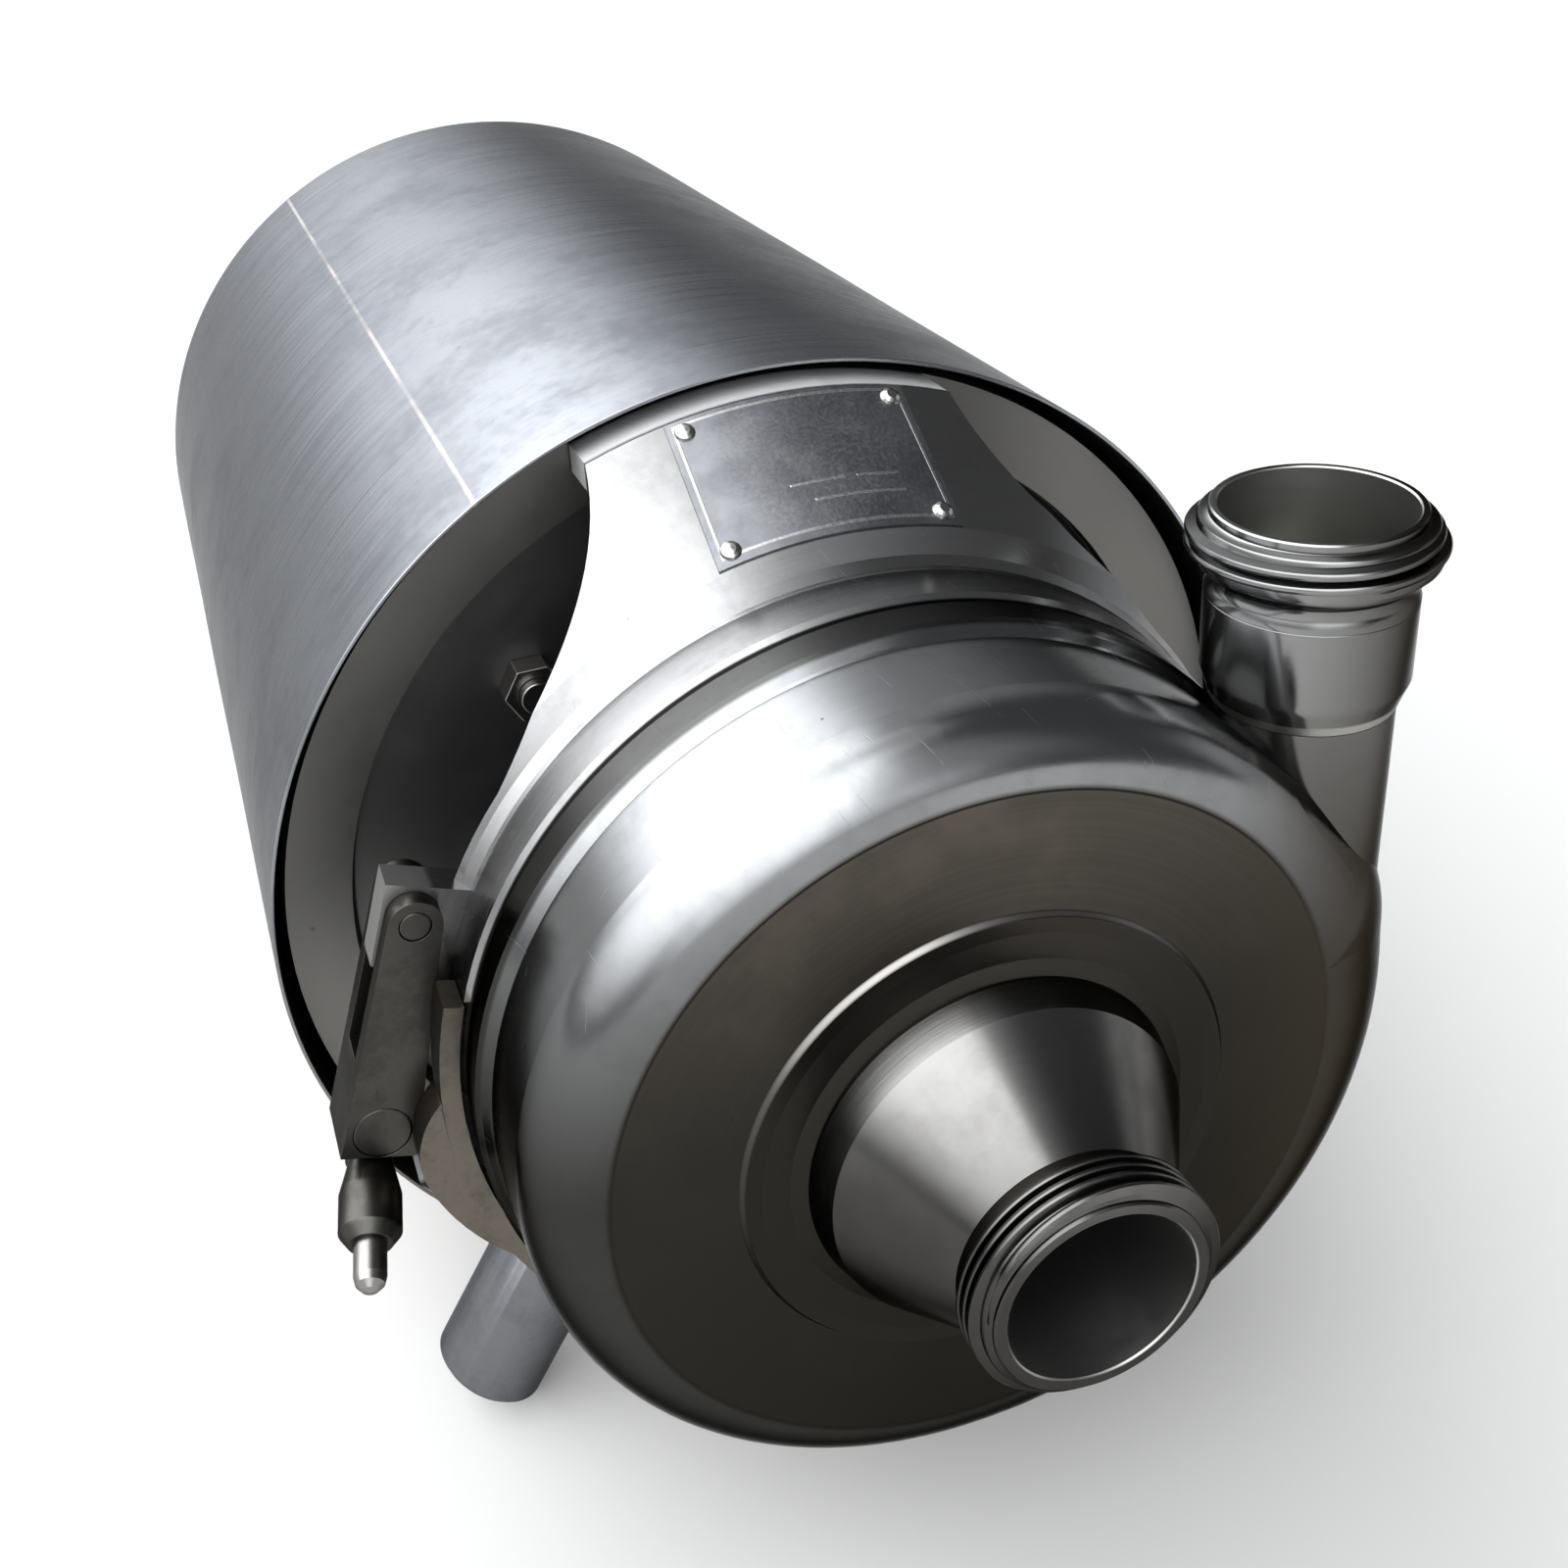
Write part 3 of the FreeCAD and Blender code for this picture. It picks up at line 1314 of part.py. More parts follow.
shroud_end = turned("end_blank", [
    ("0", "shroud_back_y - end_inset - end_thick"),
    ("shroud_in_r - end_thick", "shroud_back_y - end_inset - end_thick"),
    ("shroud_in_r - end_thick", "shroud_back_y - end_inset - end_lip"),
    ("shroud_in_r", "shroud_back_y - end_inset - end_lip"),
    ("shroud_in_r", "shroud_back_y - end_inset"),
    ("0", "shroud_back_y - end_inset"),
])
slots = []
cut_start = "shroud_back_y - 0.5*drill_len"
for index in range(int(SHEET["slot_count"])):
    slot = block("slot_%d" % (index + 1), ("slot_out_r - slot_in_r", "drill_len", "slot_w"),
                 ("slot_in_r", cut_start, "-0.5*slot_w"))
    turn_by = 360.0 / SHEET["slot_count"] * (index + 0.5)
    spin = Rotation(Vector(0, 1, 0), turn_by)
    start = Vector(SHEET["slot_in_r"], 0, -0.5 * SHEET["slot_w"])
    for letter in "xz":
        slot.setExpression("Placement.Base." + letter, None)
    slot.Placement = Placement(spin.multVec(start) + Vector(0, amount(cut_start), 0), spin)
    slots.append(slot)
gland_hole = cylinder("gland_hole", "gland_r", "drill_len", ("gland_x", cut_start, "gland_z"))
node(less("shroud_end", shroud_end, joined("end_cuts", slots + [gland_hole])), "shroud_end")

gland_start = "shroud_back_y - end_inset - end_thick"
node(turned("cable_gland", [
    ("gland_bore_r", gland_start),
    ("gland_r", gland_start),
    ("gland_r", "shroud_back_y - end_inset"),
    ("gland_nut_r", "shroud_back_y - end_inset"),
    ("gland_nut_r", "shroud_back_y - end_inset + gland_nut_len"),
    ("gland_bore_r + 4", "shroud_back_y - end_inset + gland_len"),
    ("gland_bore_r", "shroud_back_y - end_inset + gland_len"),
], False, ("gland_x", "0", "gland_z")), "cable_gland")

# Check and write every sub-part

doc.recompute()
for item in doc.Objects:
    if "Invalid" in item.State or "Error" in item.State:
        raise RuntimeError("object failed: %s %s" % (item.Label, item.State))
for item in nodes:
    shape = item.Shape
    if shape.isNull() or not shape.isValid():
        raise RuntimeError("bad shape: " + item.Label)
    shape.exportStep("parts/%s.step" % item.Label)
    box = shape.BoundBox
    print("%-20s solids %d volume %9.0f  x %.1f %.1f y %.1f %.1f z %.1f %.1f" % (
        item.Label, len(shape.Solids), shape.Volume,
        box.XMin, box.XMax, box.YMin, box.YMax, box.ZMin, box.ZMax))
print("nodes", len(nodes))
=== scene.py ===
# %% [markdown]
# A sanitary centrifugal pump in polished, turned and brushed stainless steel.
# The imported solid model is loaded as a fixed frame, and each visible piece is then
# given softened edges, threads, marks and a finish of its own. Blender counts in metres,
# so a length in millimetres, whose name ends in MM, is multiplied by MM before it is used.

# %% Load the frame
import json
import math
from collections import namedtuple

import bmesh
import bpy
from mathutils import Matrix, Vector


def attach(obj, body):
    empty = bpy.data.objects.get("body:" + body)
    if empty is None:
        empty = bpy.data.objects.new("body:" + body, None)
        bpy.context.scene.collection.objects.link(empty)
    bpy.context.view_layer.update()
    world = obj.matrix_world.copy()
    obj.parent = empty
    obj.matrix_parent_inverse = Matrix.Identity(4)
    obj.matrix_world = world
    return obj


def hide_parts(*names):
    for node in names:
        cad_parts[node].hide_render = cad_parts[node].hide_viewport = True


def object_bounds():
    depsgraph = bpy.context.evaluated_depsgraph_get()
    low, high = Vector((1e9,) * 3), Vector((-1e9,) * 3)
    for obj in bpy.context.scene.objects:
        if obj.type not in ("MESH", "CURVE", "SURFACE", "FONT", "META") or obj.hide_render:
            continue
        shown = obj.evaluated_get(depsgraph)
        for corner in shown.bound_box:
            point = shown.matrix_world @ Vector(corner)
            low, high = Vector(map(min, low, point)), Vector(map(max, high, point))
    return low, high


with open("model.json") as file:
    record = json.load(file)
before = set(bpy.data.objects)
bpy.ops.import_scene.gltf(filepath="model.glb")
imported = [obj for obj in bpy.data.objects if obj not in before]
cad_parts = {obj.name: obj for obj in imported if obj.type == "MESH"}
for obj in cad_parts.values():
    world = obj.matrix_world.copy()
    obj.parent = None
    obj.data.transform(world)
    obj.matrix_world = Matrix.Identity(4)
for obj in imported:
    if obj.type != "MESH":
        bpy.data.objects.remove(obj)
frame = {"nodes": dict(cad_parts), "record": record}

MM = 0.001
cad_low, cad_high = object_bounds()

# %% [markdown]
# The camera stands in front of the inlet, above it and to its left, and is turned slightly
# about its own axis, as a hand-held camera is. It could be placed by eye. Its place and
# lens were solved from the round edges of the pump instead, and are kept as plain numbers.
# The lens was found in pixels of the picture, so it is turned to millimetres on a sensor
# of known width, and the shift puts the picture's centre back on the lens's axis.

# %% Camera
PICTURE_SIDE = 1600.0
FOCAL_PX = 1777.73
CENTRE_PX = (652.80, 629.27)
SENSOR_MM = 36.0
CAMERA_AT = Vector((-178.5, -282.1, 368.0)) * MM
CAMERA_RIGHT = Vector((0.950876, -0.295913, -0.090941))
CAMERA_DOWN = Vector((-0.210863, -0.404025, -0.890113))
CAMERA_AHEAD = Vector((0.226653, 0.865563, -0.446575))
NEAREST_SEEN = 0.01
FARTHEST_SEEN = 50.0

camera_data = bpy.data.cameras.new("camera")
camera_data.sensor_width = SENSOR_MM
camera_data.lens = FOCAL_PX / PICTURE_SIDE * SENSOR_MM
camera_data.shift_x = 0.5 - CENTRE_PX[0] / PICTURE_SIDE
camera_data.shift_y = CENTRE_PX[1] / PICTURE_SIDE - 0.5
camera_data.clip_start = NEAREST_SEEN
camera_data.clip_end = FARTHEST_SEEN
camera = bpy.data.objects.new("camera", camera_data)
camera_turn = Matrix((CAMERA_RIGHT, -CAMERA_DOWN, -CAMERA_AHEAD)).transposed()
camera.matrix_world = Matrix.Translation(CAMERA_AT) @ camera_turn.to_4x4()
bpy.context.scene.collection.objects.link(camera)
bpy.context.scene.camera = camera
print("lens", round(camera_data.lens, 2), "mm")

# %% [markdown]
# Colours are written as the hex values that a colour picker shows, but a shader works in
# linear light, so one function turns the first into the second. Nodes could be placed by
# hand in the shader editor. Here one small function adds any node and fills the sockets
# that it shows, from the top down, so that each material reads as a recipe.

# %% Colours and nodes


def linear(hex_colour):
    """An sRGB hex colour as linear red, green, blue and alpha."""
    channels = []
    for start in (0, 2, 4):
        value = int(hex_colour[start:start + 2], 16) / 255
        channels.append(value / 12.92 if value <= 0.04045 else ((value + 0.055) / 1.055) ** 2.4)
    return (*channels, 1.0)


def blank(name):
    material = bpy.data.materials.new(name)
    material.use_nodes = True
    material.node_tree.nodes.clear()
    return material


def add(owner, kind, *values, **named):
    """Adds a shader node to a material or a world, and returns it.

    A kind in capitals is an operation of the Math node. The values fill the sockets that
    the node shows, in order. A name with a capital is a socket, any other is a setting.
    A value is a number, a colour, an output of a node, or a node, for its first output.
    """
    tree = owner.node_tree
    node = tree.nodes.new("ShaderNodeMath" if kind.isupper() else "ShaderNode" + kind)
    if kind.isupper():
        node.operation = kind
    for name, value in named.items():
        if name[0].islower():
            setattr(node, name, value)
    filled = list(zip([socket for socket in node.inputs if socket.enabled], values))
    filled += [(node.inputs[name.replace("_", " ")], value) for name, value in named.items()
               if name[0].isupper()]
    for socket, value in filled:
        if isinstance(value, bpy.types.Node):
            value = next(output for output in value.outputs if output.enabled)
        if isinstance(value, bpy.types.NodeSocket):
            tree.links.new(value, socket)
        else:
            socket.default_value = value
    return node


print("808080 in linear light is", round(linear("808080")[0], 3))

# %% [markdown]
# Metal shows how it was worked. A lathe leaves fine rings about its axis, and a belt leaves
# lines along its path. A picture could be wrapped round each piece, but a pattern made of
# nodes has no seams and keeps its real size. So the surface is unrolled about an axis, as
# radius, height and angle, and a noise that is stretched there will draw the marks.

# %% Unrolling about an axis
Unrolled = namedtuple("Unrolled", "place radius along angle marks")
AXIS_ORDER = {"Y": (0, 2, 1), "Z": (0, 1, 2)}


def unrolled(material, axis, centre, marks_per_metre, sweep):
    """Object coordinates, those about an axis, and a vector stretched for its marks."""
    place = add(material, "TexCoord").outputs["Object"]
    moved = add(material, "VectorMath", place, centre, operation="SUBTRACT")
    parts = add(material, "SeparateXYZ", moved).outputs
    across, up, along = (parts[number] for number in AXIS_ORDER[axis])
    squared = add(material, "ADD", add(material, "MULTIPLY", across, across),
                  add(material, "MULTIPLY", up, up))
    radius = add(material, "SQRT", squared)
    angle = add(material, "ARCTAN2", up, across)
    marks = add(material, "CombineXYZ", add(material, "MULTIPLY", radius, marks_per_metre),
                add(material, "MULTIPLY", along, marks_per_metre),
                add(material, "MULTIPLY", angle, sweep))
    return Unrolled(place, radius, along, angle, marks)


print("axes to unroll about:", *AXIS_ORDER)

# %% [markdown]
# Years of use leave straight hairlines, which run every way, and small round dents that
# hold dirt. Hairlines drawn as the contours of a noise would curl into loops, so they are
# thin slices through a stack of turned planes, shown only here and there. The dents are
# the middles of Voronoi cells, and the random colour of a cell decides if it has one.
# The hairlines are drawn about twice as wide as real ones, so that they show from here.

# %% Hairlines and dents
SMOOTH = {"interpolation_type": "SMOOTHSTEP"}
HAIR_SETS = (((0.9, 0.4, 0.3), 7.0), ((-0.5, 1.1, 0.8), 11.0))
HAIR_HALF_MM = 0.16
DENT_SETS = ((11.0, 0.75, 0.10), (25.0, 1.25, 0.14))
DENT_FLOOR = 0.4


def hairlines(material, place, turn, spacing_mm):
    """Slices of planes that wander over some 70 mm, in patches of about 13 mm."""
    turned_place = add(material, "Mapping", place, Rotation=turn)
    across = add(material, "SeparateXYZ", turned_place).outputs[0]
    wander = add(material, "TexNoise", place, Scale=14.0, Detail=2.0, Roughness=0.55)
    count = add(material, "ADD", add(material, "MULTIPLY", across, 1000.0 / spacing_mm),
                add(material, "MULTIPLY", wander, 3.0))
    away = add(material, "ABSOLUTE",
               add(material, "SUBTRACT", add(material, "FRACT", count), 0.5))
    hair = add(material, "MapRange", away, 0.0, HAIR_HALF_MM / spacing_mm, 1.0, 0.0,
               **SMOOTH)
    patches = add(material, "TexNoise", turned_place, Scale=75.0, Detail=1.0, Roughness=0.55)
    sparse = add(material, "MapRange", patches, 0.61, 0.67, **SMOOTH)
    return add(material, "MULTIPLY", hair, sparse)


def dents(material, place, spacing_mm, radius_mm, share):
    """Round dents, in a share of the cells of a grid of random points."""
    cells = add(material, "TexVoronoi", place, 1000.0 / spacing_mm, Randomness=1.0,
                feature="F1")
    lot = add(material, "SeparateColor", cells.outputs["Color"])
    chosen = add(material, "MapRange", lot, share, share + 0.01, 1.0, 0.0, **SMOOTH)
    reach = radius_mm / spacing_mm
    dent = add(material, "MapRange", cells.outputs["Distance"], reach * DENT_FLOOR, reach,
               1.0, 0.0, **SMOOTH)
    return add(material, "MULTIPLY", dent, chosen)


print("sets of hairlines", len(HAIR_SETS), "sets of dents", len(DENT_SETS))

# %% [markdown]
# Eleven steels built one by one would soon drift apart, so every steel here is one recipe.
# The marks of the tool change the roughness and a slight relief, cloudy marks of handling
# stain the colour, and wear adds hairlines and dents. A piece with several finishes has a
# function of its own, its zones, which changes colour and roughness by place. Real marks
# are a tenth of a millimetre wide or less, and would vanish at this distance, so they are
# drawn several times as wide. Worn steel doesn't flare white where it is seen edge on, so
# the shader's specular tint holds that back.

# %% Recipe for steel
EDGE_TINT = "A0A0A0"
CLOUD_SHARE, FINE_SHARE = 0.7, 0.3
FINE_SIZE = 0.12
STAIN_FROM, STAIN_TO = 0.42, 0.66
STAIN_SHARE = 0.55
STAIN_ROUGH = 0.05
DIRT_IN_DENTS = "2A2927"
DIRT_SHARE = 0.75
HAIR_ROUGH = 0.20
HAIR_DEPTH, DENT_DEPTH = 0.9, 3.0
BUMP_STRENGTH = 0.35


def cover(material, colour, where, shade, share=1.0):
    """Lays a shade over a colour where a mask is 1, in the given share."""
    if share < 1.0:
        where = add(material, "MULTIPLY", where, share)
    return add(material, "Mix", where, colour, linear(shade), data_type="RGBA")


def roughen(material, rough, where, amount):
    return add(material, "ADD", rough, add(material, "MULTIPLY", where, amount))


def steel(name, colour, stain, rough, axis="Y", centre=(0, 0, 0), line_mm=0.6, sweep=3.0,
          relief=0.02, cloud_mm=60.0, spread=0.10, wear=0.0, zones=None):
    """A worked metal. line_mm is the width of its marks; sweep is how short they are."""
    material = blank(name)
    at = unrolled(material, axis, centre, 1 / (line_mm * MM), sweep)
    lines = add(material, "TexNoise", at.marks, Scale=1.0, Detail=2.0, Roughness=0.7)
    clouds = add(material, "TexNoise", at.place, Scale=1000.0 / cloud_mm, Detail=4.0,
                 Roughness=0.6)
    fine = add(material, "TexNoise", at.place, Scale=1000.0 / (cloud_mm * FINE_SIZE),
               Detail=3.0, Roughness=0.65)
    handled = add(material, "ADD", add(material, "MULTIPLY", clouds, CLOUD_SHARE),
                  add(material, "MULTIPLY", fine, FINE_SHARE))
    stained = add(material, "MapRange", handled, STAIN_FROM, STAIN_TO, **SMOOTH)
    colour_out = cover(material, linear(colour), stained, stain, STAIN_SHARE)
    rough_out = roughen(material, rough - spread / 2, lines, spread)
    rough_out = roughen(material, rough_out, stained, STAIN_ROUGH)
    if zones:
        colour_out, rough_out = zones(material, at, colour_out, rough_out)
    height = lines
    if wear:
        hair = add(material, "MAXIMUM", *(hairlines(material, at.place, turn, spacing)
                                          for turn, spacing in HAIR_SETS))
        dent = add(material, "MAXIMUM", *(dents(material, at.place, spacing, radius, share)
                                          for spacing, radius, share in DENT_SETS))
        colour_out = cover(material, colour_out, dent, DIRT_IN_DENTS, DIRT_SHARE * wear)
        rough_out = roughen(material, rough_out, hair, HAIR_ROUGH * wear)
        worn = add(material, "ADD", add(material, "MULTIPLY", hair, HAIR_DEPTH),
                   add(material, "MULTIPLY", dent, DENT_DEPTH))
        height = add(material, "SUBTRACT", lines, add(material, "MULTIPLY", worn, wear))
    bump = add(material, "Bump", Strength=BUMP_STRENGTH, Distance=relief * MM, Height=height)
    surface = add(material, "BsdfPrincipled", Base_Color=colour_out, Metallic=1.0,
                  Specular_Tint=linear(EDGE_TINT), Roughness=rough_out, Normal=bump)
    add(material, "OutputMaterial", Surface=surface)
    return material


print("the edge tint is", round(linear(EDGE_TINT)[0], 2), "in linear light")

# %% [markdown]
# Rubber, carbon, plastic and painted castings have no direction. They could be one flat
# colour, but two near tones and a fine grain of about 4 mm keep them from looking like it.

# %% Recipe for moulded and cast surfaces
GRAIN_MM = 4.0
GRAIN_RELIEF_MM = 0.05


def plain(name, colour, second, rough, metallic=0.0):
    """A moulded or cast surface: two near tones and a fine grain."""
    material = blank(name)
    place = add(material, "TexCoord").outputs["Object"]
    grain = add(material, "TexNoise", place, Scale=1000.0 / GRAIN_MM, Detail=4.0,
                Roughness=0.6)
    bump = add(material, "Bump", Strength=0.4, Distance=GRAIN_RELIEF_MM * MM, Height=grain)
    tones = add(material, "MapRange", grain, 0.35, 0.65, **SMOOTH)
    surface = add(material, "BsdfPrincipled",
                  Base_Color=cover(material, linear(colour), tones, second),
                  Metallic=metallic,
                  Roughness=add(material, "MapRange", grain, 0.3, 0.7, rough - 0.05,
                                rough + 0.08, **SMOOTH),
                  Normal=bump)
    add(material, "OutputMaterial", Surface=surface)
    return material


print("grain", GRAIN_MM, "mm")

# %% [markdown]
# The casing is one pressing, but its flat face was left turned, satin and brownish, while
# the rounded shoulder was polished bright. Behind the shoulder the rim up to the joint is
# darkened with painted shade, and painted shade darkens the casing more and more towards its
# foot and its right side. Each could be a piece with a material of its own. Here the distance
# from the shaft and the place along it tell them apart, so that no edge of a mesh shows.

# %% Casing zones
FACE_RADIUS = 0.1142
FACE_Y = (0.0655, 0.067)
STEP_RADIUS = 0.0755
RIM_Y = (0.1196, 0.1400)
CASING_JOINT_Y = (0.1318, 0.1326)
RINGS_PER_METRE = 420.0


def band(material, value, low, high, soft):
    """1 between two values, with soft ends, and 0 beyond them."""
    return add(material, "MULTIPLY",
               add(material, "MapRange", value, low - soft, low + soft, **SMOOTH),
               add(material, "MapRange", value, high - soft, high + soft, 1.0, 0.0, **SMOOTH))


def painted_shade_by_place(material, colour, value, shade, unshaded_at, fully_shaded_at, share):
    """Paints shade over a colour by place, none at the first value and its full share at the
    second.
    """
    # The share of painted shade at this place.
    shade_amount = add(material, "MapRange", value, unshaded_at, fully_shaded_at, 0.0, share, **SMOOTH)
    return cover(material, colour, shade_amount, shade)


def casing_face(material, at):
    """Turned face: faint rings, blotches, a darker middle, a painted highlight at the step and
    painted shade at the edge.
    """
    only_radius = add(material, "CombineXYZ", at.radius)
    rings = add(material, "TexNoise", only_radius, Scale=RINGS_PER_METRE, Detail=3.0,
                Roughness=0.7)
    ringed = add(material, "MapRange", rings, 0.30, 0.70, **SMOOTH)
    tone = cover(material, linear("4A4640"), ringed, "524D47")
    blotches = add(material, "TexNoise", at.place, Scale=26.0, Detail=4.0, Roughness=0.6)
    mottled = add(material, "MapRange", blotches, 0.45, 0.68, **SMOOTH)
    tone = cover(material, tone, mottled, "655E55", share=0.45)
    middle = add(material, "MapRange", at.radius, STEP_RADIUS - 0.001, STEP_RADIUS + 0.001,
                 1.0, 0.0, **SMOOTH)
    tone = cover(material, tone, middle, "433F3B")
    # A painted highlight along the edge of the step.
    step = band(material, at.radius, STEP_RADIUS + 0.0002, STEP_RADIUS + 0.0012, soft=0.0003)
    tone = cover(material, tone, step, "A3A09C")
    # Painted shade along the edge where the face meets the shoulder.
    edge = band(material, at.radius, FACE_RADIUS - 0.0010, FACE_RADIUS - 0.0002, soft=0.0002)
    return cover(material, tone, edge, "2B2826")


def casing_zones(material, at, colour, rough):
    across, _, height = add(material, "SeparateXYZ", at.place).outputs
    # Painted shade on the rim behind the shoulder, up to the joint.
    on_rim = band(material, at.along, *RIM_Y, soft=0.0006)
    colour = cover(material, colour, on_rim, "383735", share=0.85)
    joint = add(material, "MapRange", at.along, *CASING_JOINT_Y, **SMOOTH)
    colour = cover(material, colour, joint, "161615")
    on_face = add(material, "MULTIPLY",
                  add(material, "MapRange", at.radius, FACE_RADIUS - 0.0005,
                      FACE_RADIUS + 0.0015, 1.0, 0.0, **SMOOTH),
                  add(material, "MapRange", at.along, *FACE_Y, 1.0, 0.0, **SMOOTH))
    colour = add(material, "Mix", on_face, colour, casing_face(material, at),
                 data_type="RGBA")
    # Painted shade: darker towards the foot, and towards the right side.
    colour = painted_shade_by_place(material, colour, height, "2B2A27", unshaded_at=0.125, fully_shaded_at=0.010, share=0.90)
    colour = painted_shade_by_place(material, colour, across, "453F37", unshaded_at=0.062, fully_shaded_at=0.125, share=0.60)
    return colour, roughen(material, rough, on_face, 0.12)


print("casing face", round(2 * FACE_RADIUS / MM, 1), "mm across")

# %% [markdown]
# Both pipe ends were turned on a lathe. The same painted shade darkens the low side of the
# inlet and the right side of the outlet, and their bores were left paler and rougher. The
# two differ in numbers alone, so one function makes the zones of either.

# %% Zones of the pipe ends
BORE_RADIUS = (0.0276, 0.0280)
ACROSS, HEIGHT = 0, 2


def pipe_zones(part, shade, unshaded_at, fully_shaded_at, share, bore_shade, bore_rough):
    """Zones with painted shade along one coordinate, and a bore of another shade."""
    def zones(material, at, colour, rough):
        value = add(material, "SeparateXYZ", at.place).outputs[part]
        # Painted shade: darker along one coordinate, low on the inlet and right on the outlet.
        colour = painted_shade_by_place(material, colour, value, shade, unshaded_at, fully_shaded_at, share)
        in_bore = add(material, "MapRange", at.radius, *BORE_RADIUS, 1.0, 0.0, **SMOOTH)
        colour = cover(material, colour, in_bore, bore_shade)
        return colour, roughen(material, rough, in_bore, bore_rough)
    return zones


inlet_zones = pipe_zones(HEIGHT, "302F2D", unshaded_at=0.055, fully_shaded_at=0.010, share=0.80,
                         bore_shade="A3A2A0", bore_rough=0.15)
outlet_zones = pipe_zones(ACROSS, "302C27", unshaded_at=0.098, fully_shaded_at=0.140, share=0.84,
                          bore_shade="A9A8A4", bore_rough=0.20)
print("bores", round(2 * BORE_RADIUS[0] / MM, 1), "mm across")

# %% [markdown]
# The adaptor is a casting that was ground bright on its saddle. Its joint face is dark,
# the flange and the web behind the windows kept a dull machined skin with a line of painted
# shade at the recess, a rough pale band runs by the flange where the belt couldn't reach, and
# the lug that holds the clamp is rougher than the rest, and painted paler as a painted
# highlight. These could be painted on an unwrapped mesh. Their place on the casting tells
# them apart just as well, and stays exact when the mesh changes.

# %% Adaptor zones
FLANGE_Y = 0.2315
RECESS_RADIUS = 0.158
SADDLE_END_Y = 0.2115
ADAPTOR_JOINT_Y = (0.1342, 0.1348)
LUG_X = -0.1350
LUG_END_Y = (0.185, 0.187)
LUG_Z = (0.030, 0.095)


def adaptor_zones(material, at, colour, rough):
    joint = add(material, "MapRange", at.along, *ADAPTOR_JOINT_Y, 1.0, 0.0, **SMOOTH)
    colour = cover(material, colour, joint, "161615")
    behind = add(material, "MapRange", at.along, FLANGE_Y - 0.001, FLANGE_Y, **SMOOTH)
    in_recess = add(material, "MapRange", at.radius, RECESS_RADIUS - 0.001, RECESS_RADIUS,
                    1.0, 0.0, **SMOOTH)
    on_web = add(material, "MULTIPLY", behind, in_recess)
    # Painted shade: a dark line at the edge of the recess.
    recess_shade_line = add(material, "MULTIPLY", behind,
                 band(material, at.radius, RECESS_RADIUS - 0.0022, RECESS_RADIUS - 0.0002,
                      soft=0.0004))
    across, _, height = add(material, "SeparateXYZ", at.place).outputs
    lug_length = add(material, "MULTIPLY",
                     add(material, "MapRange", at.along, *LUG_END_Y, 1.0, 0.0, **SMOOTH),
                     band(material, height, *LUG_Z, soft=0.004))
    on_lug = add(material, "MULTIPLY",
                 add(material, "MapRange", across, LUG_X, LUG_X - 0.003, **SMOOTH),
                 lug_length)
    # A painted highlight: the lug is painted paler. It is also rougher.
    colour = cover(material, colour, on_lug, "A3A2A0", share=0.6)
    rough = roughen(material, rough, on_lug, 0.18)
    colour = cover(material, colour, behind, "73726F")
    colour = cover(material, colour, on_web, "6B6A69")
    colour = cover(material, colour, recess_shade_line, "1C1C1C")
    rough = roughen(material, rough, behind, 0.18)
    by_flange = band(material, at.along, SADDLE_END_Y, FLANGE_Y - 0.0015, soft=0.0015)
    colour = cover(material, colour, by_flange, "D2D2D1", share=0.8)
    return colour, roughen(material, rough, by_flange, 0.42)


print("rough band by the flange", round((FLANGE_Y - SADDLE_END_Y) / MM, 1), "mm wide")

# %% [markdown]
# The shroud was rolled from brushed sheet and closed with one weld, which was ground down
# and shows as a pale, patchy line at its upper left. A strip of mesh would show its own
# edges, so the angle about the shaft places the line. It is drawn on the tube alone, because
# its rear cover has the same finish. Low down, painted shade makes the sheet darker and warmer.

# %% Shroud zones
SHROUD_R_MM = 187.25
SEAM_DEG = 121.0
SEAM_HALF_MM = 0.8


def shroud_zones(material, at, colour, rough):
    seam_half = SEAM_HALF_MM / SHROUD_R_MM
    seam = band(material, at.angle, math.radians(SEAM_DEG) - seam_half,
                math.radians(SEAM_DEG) + seam_half, soft=seam_half * 0.5)
    patches = add(material, "TexNoise", at.place, Scale=40.0, Detail=3.0, Roughness=0.55)
    patchy = add(material, "MapRange", patches, 0.35, 0.60, 0.25, 1.0, **SMOOTH)
    on_tube = add(material, "MapRange", at.radius, (SHROUD_R_MM - 3) * MM,
                  (SHROUD_R_MM - 2) * MM, **SMOOTH)
    seam = add(material, "MULTIPLY", seam, add(material, "MULTIPLY", patchy, on_tube))
    height = add(material, "SeparateXYZ", at.place).outputs[HEIGHT]
    # Painted shade: darker and warmer low down.
    colour = painted_shade_by_place(material, colour, height, "6E6558", unshaded_at=0.050, fully_shaded_at=-0.060, share=0.65)
    colour = cover(material, colour, seam, "D9D0C2", share=0.38)
    return colour, roughen(material, rough, seam, 0.10)


print("weld line", 2 * SEAM_HALF_MM, "mm wide at", SEAM_DEG, "degrees")

# %% [markdown]
# Now each finish of the pump is a few numbers: its colour and its stain, how rough it is,
# how wide and how long the marks of the tool are, and how much wear it shows. Smoother
# steel mirrors the room, rougher steel gathers it into broad soft lights.

# %% Finishes in steel
OUTLET_CENTRE = (0.125, 0.104, 0.0)

# Pressed sheet, polished on a wheel: near to a mirror, with dents and hairlines.
polished = steel("polished_stainless_casing", "8E8F90", "7A7A7A", 0.18, line_mm=0.9,
                 sweep=2.0, spread=0.06, wear=1.0, zones=casing_zones)
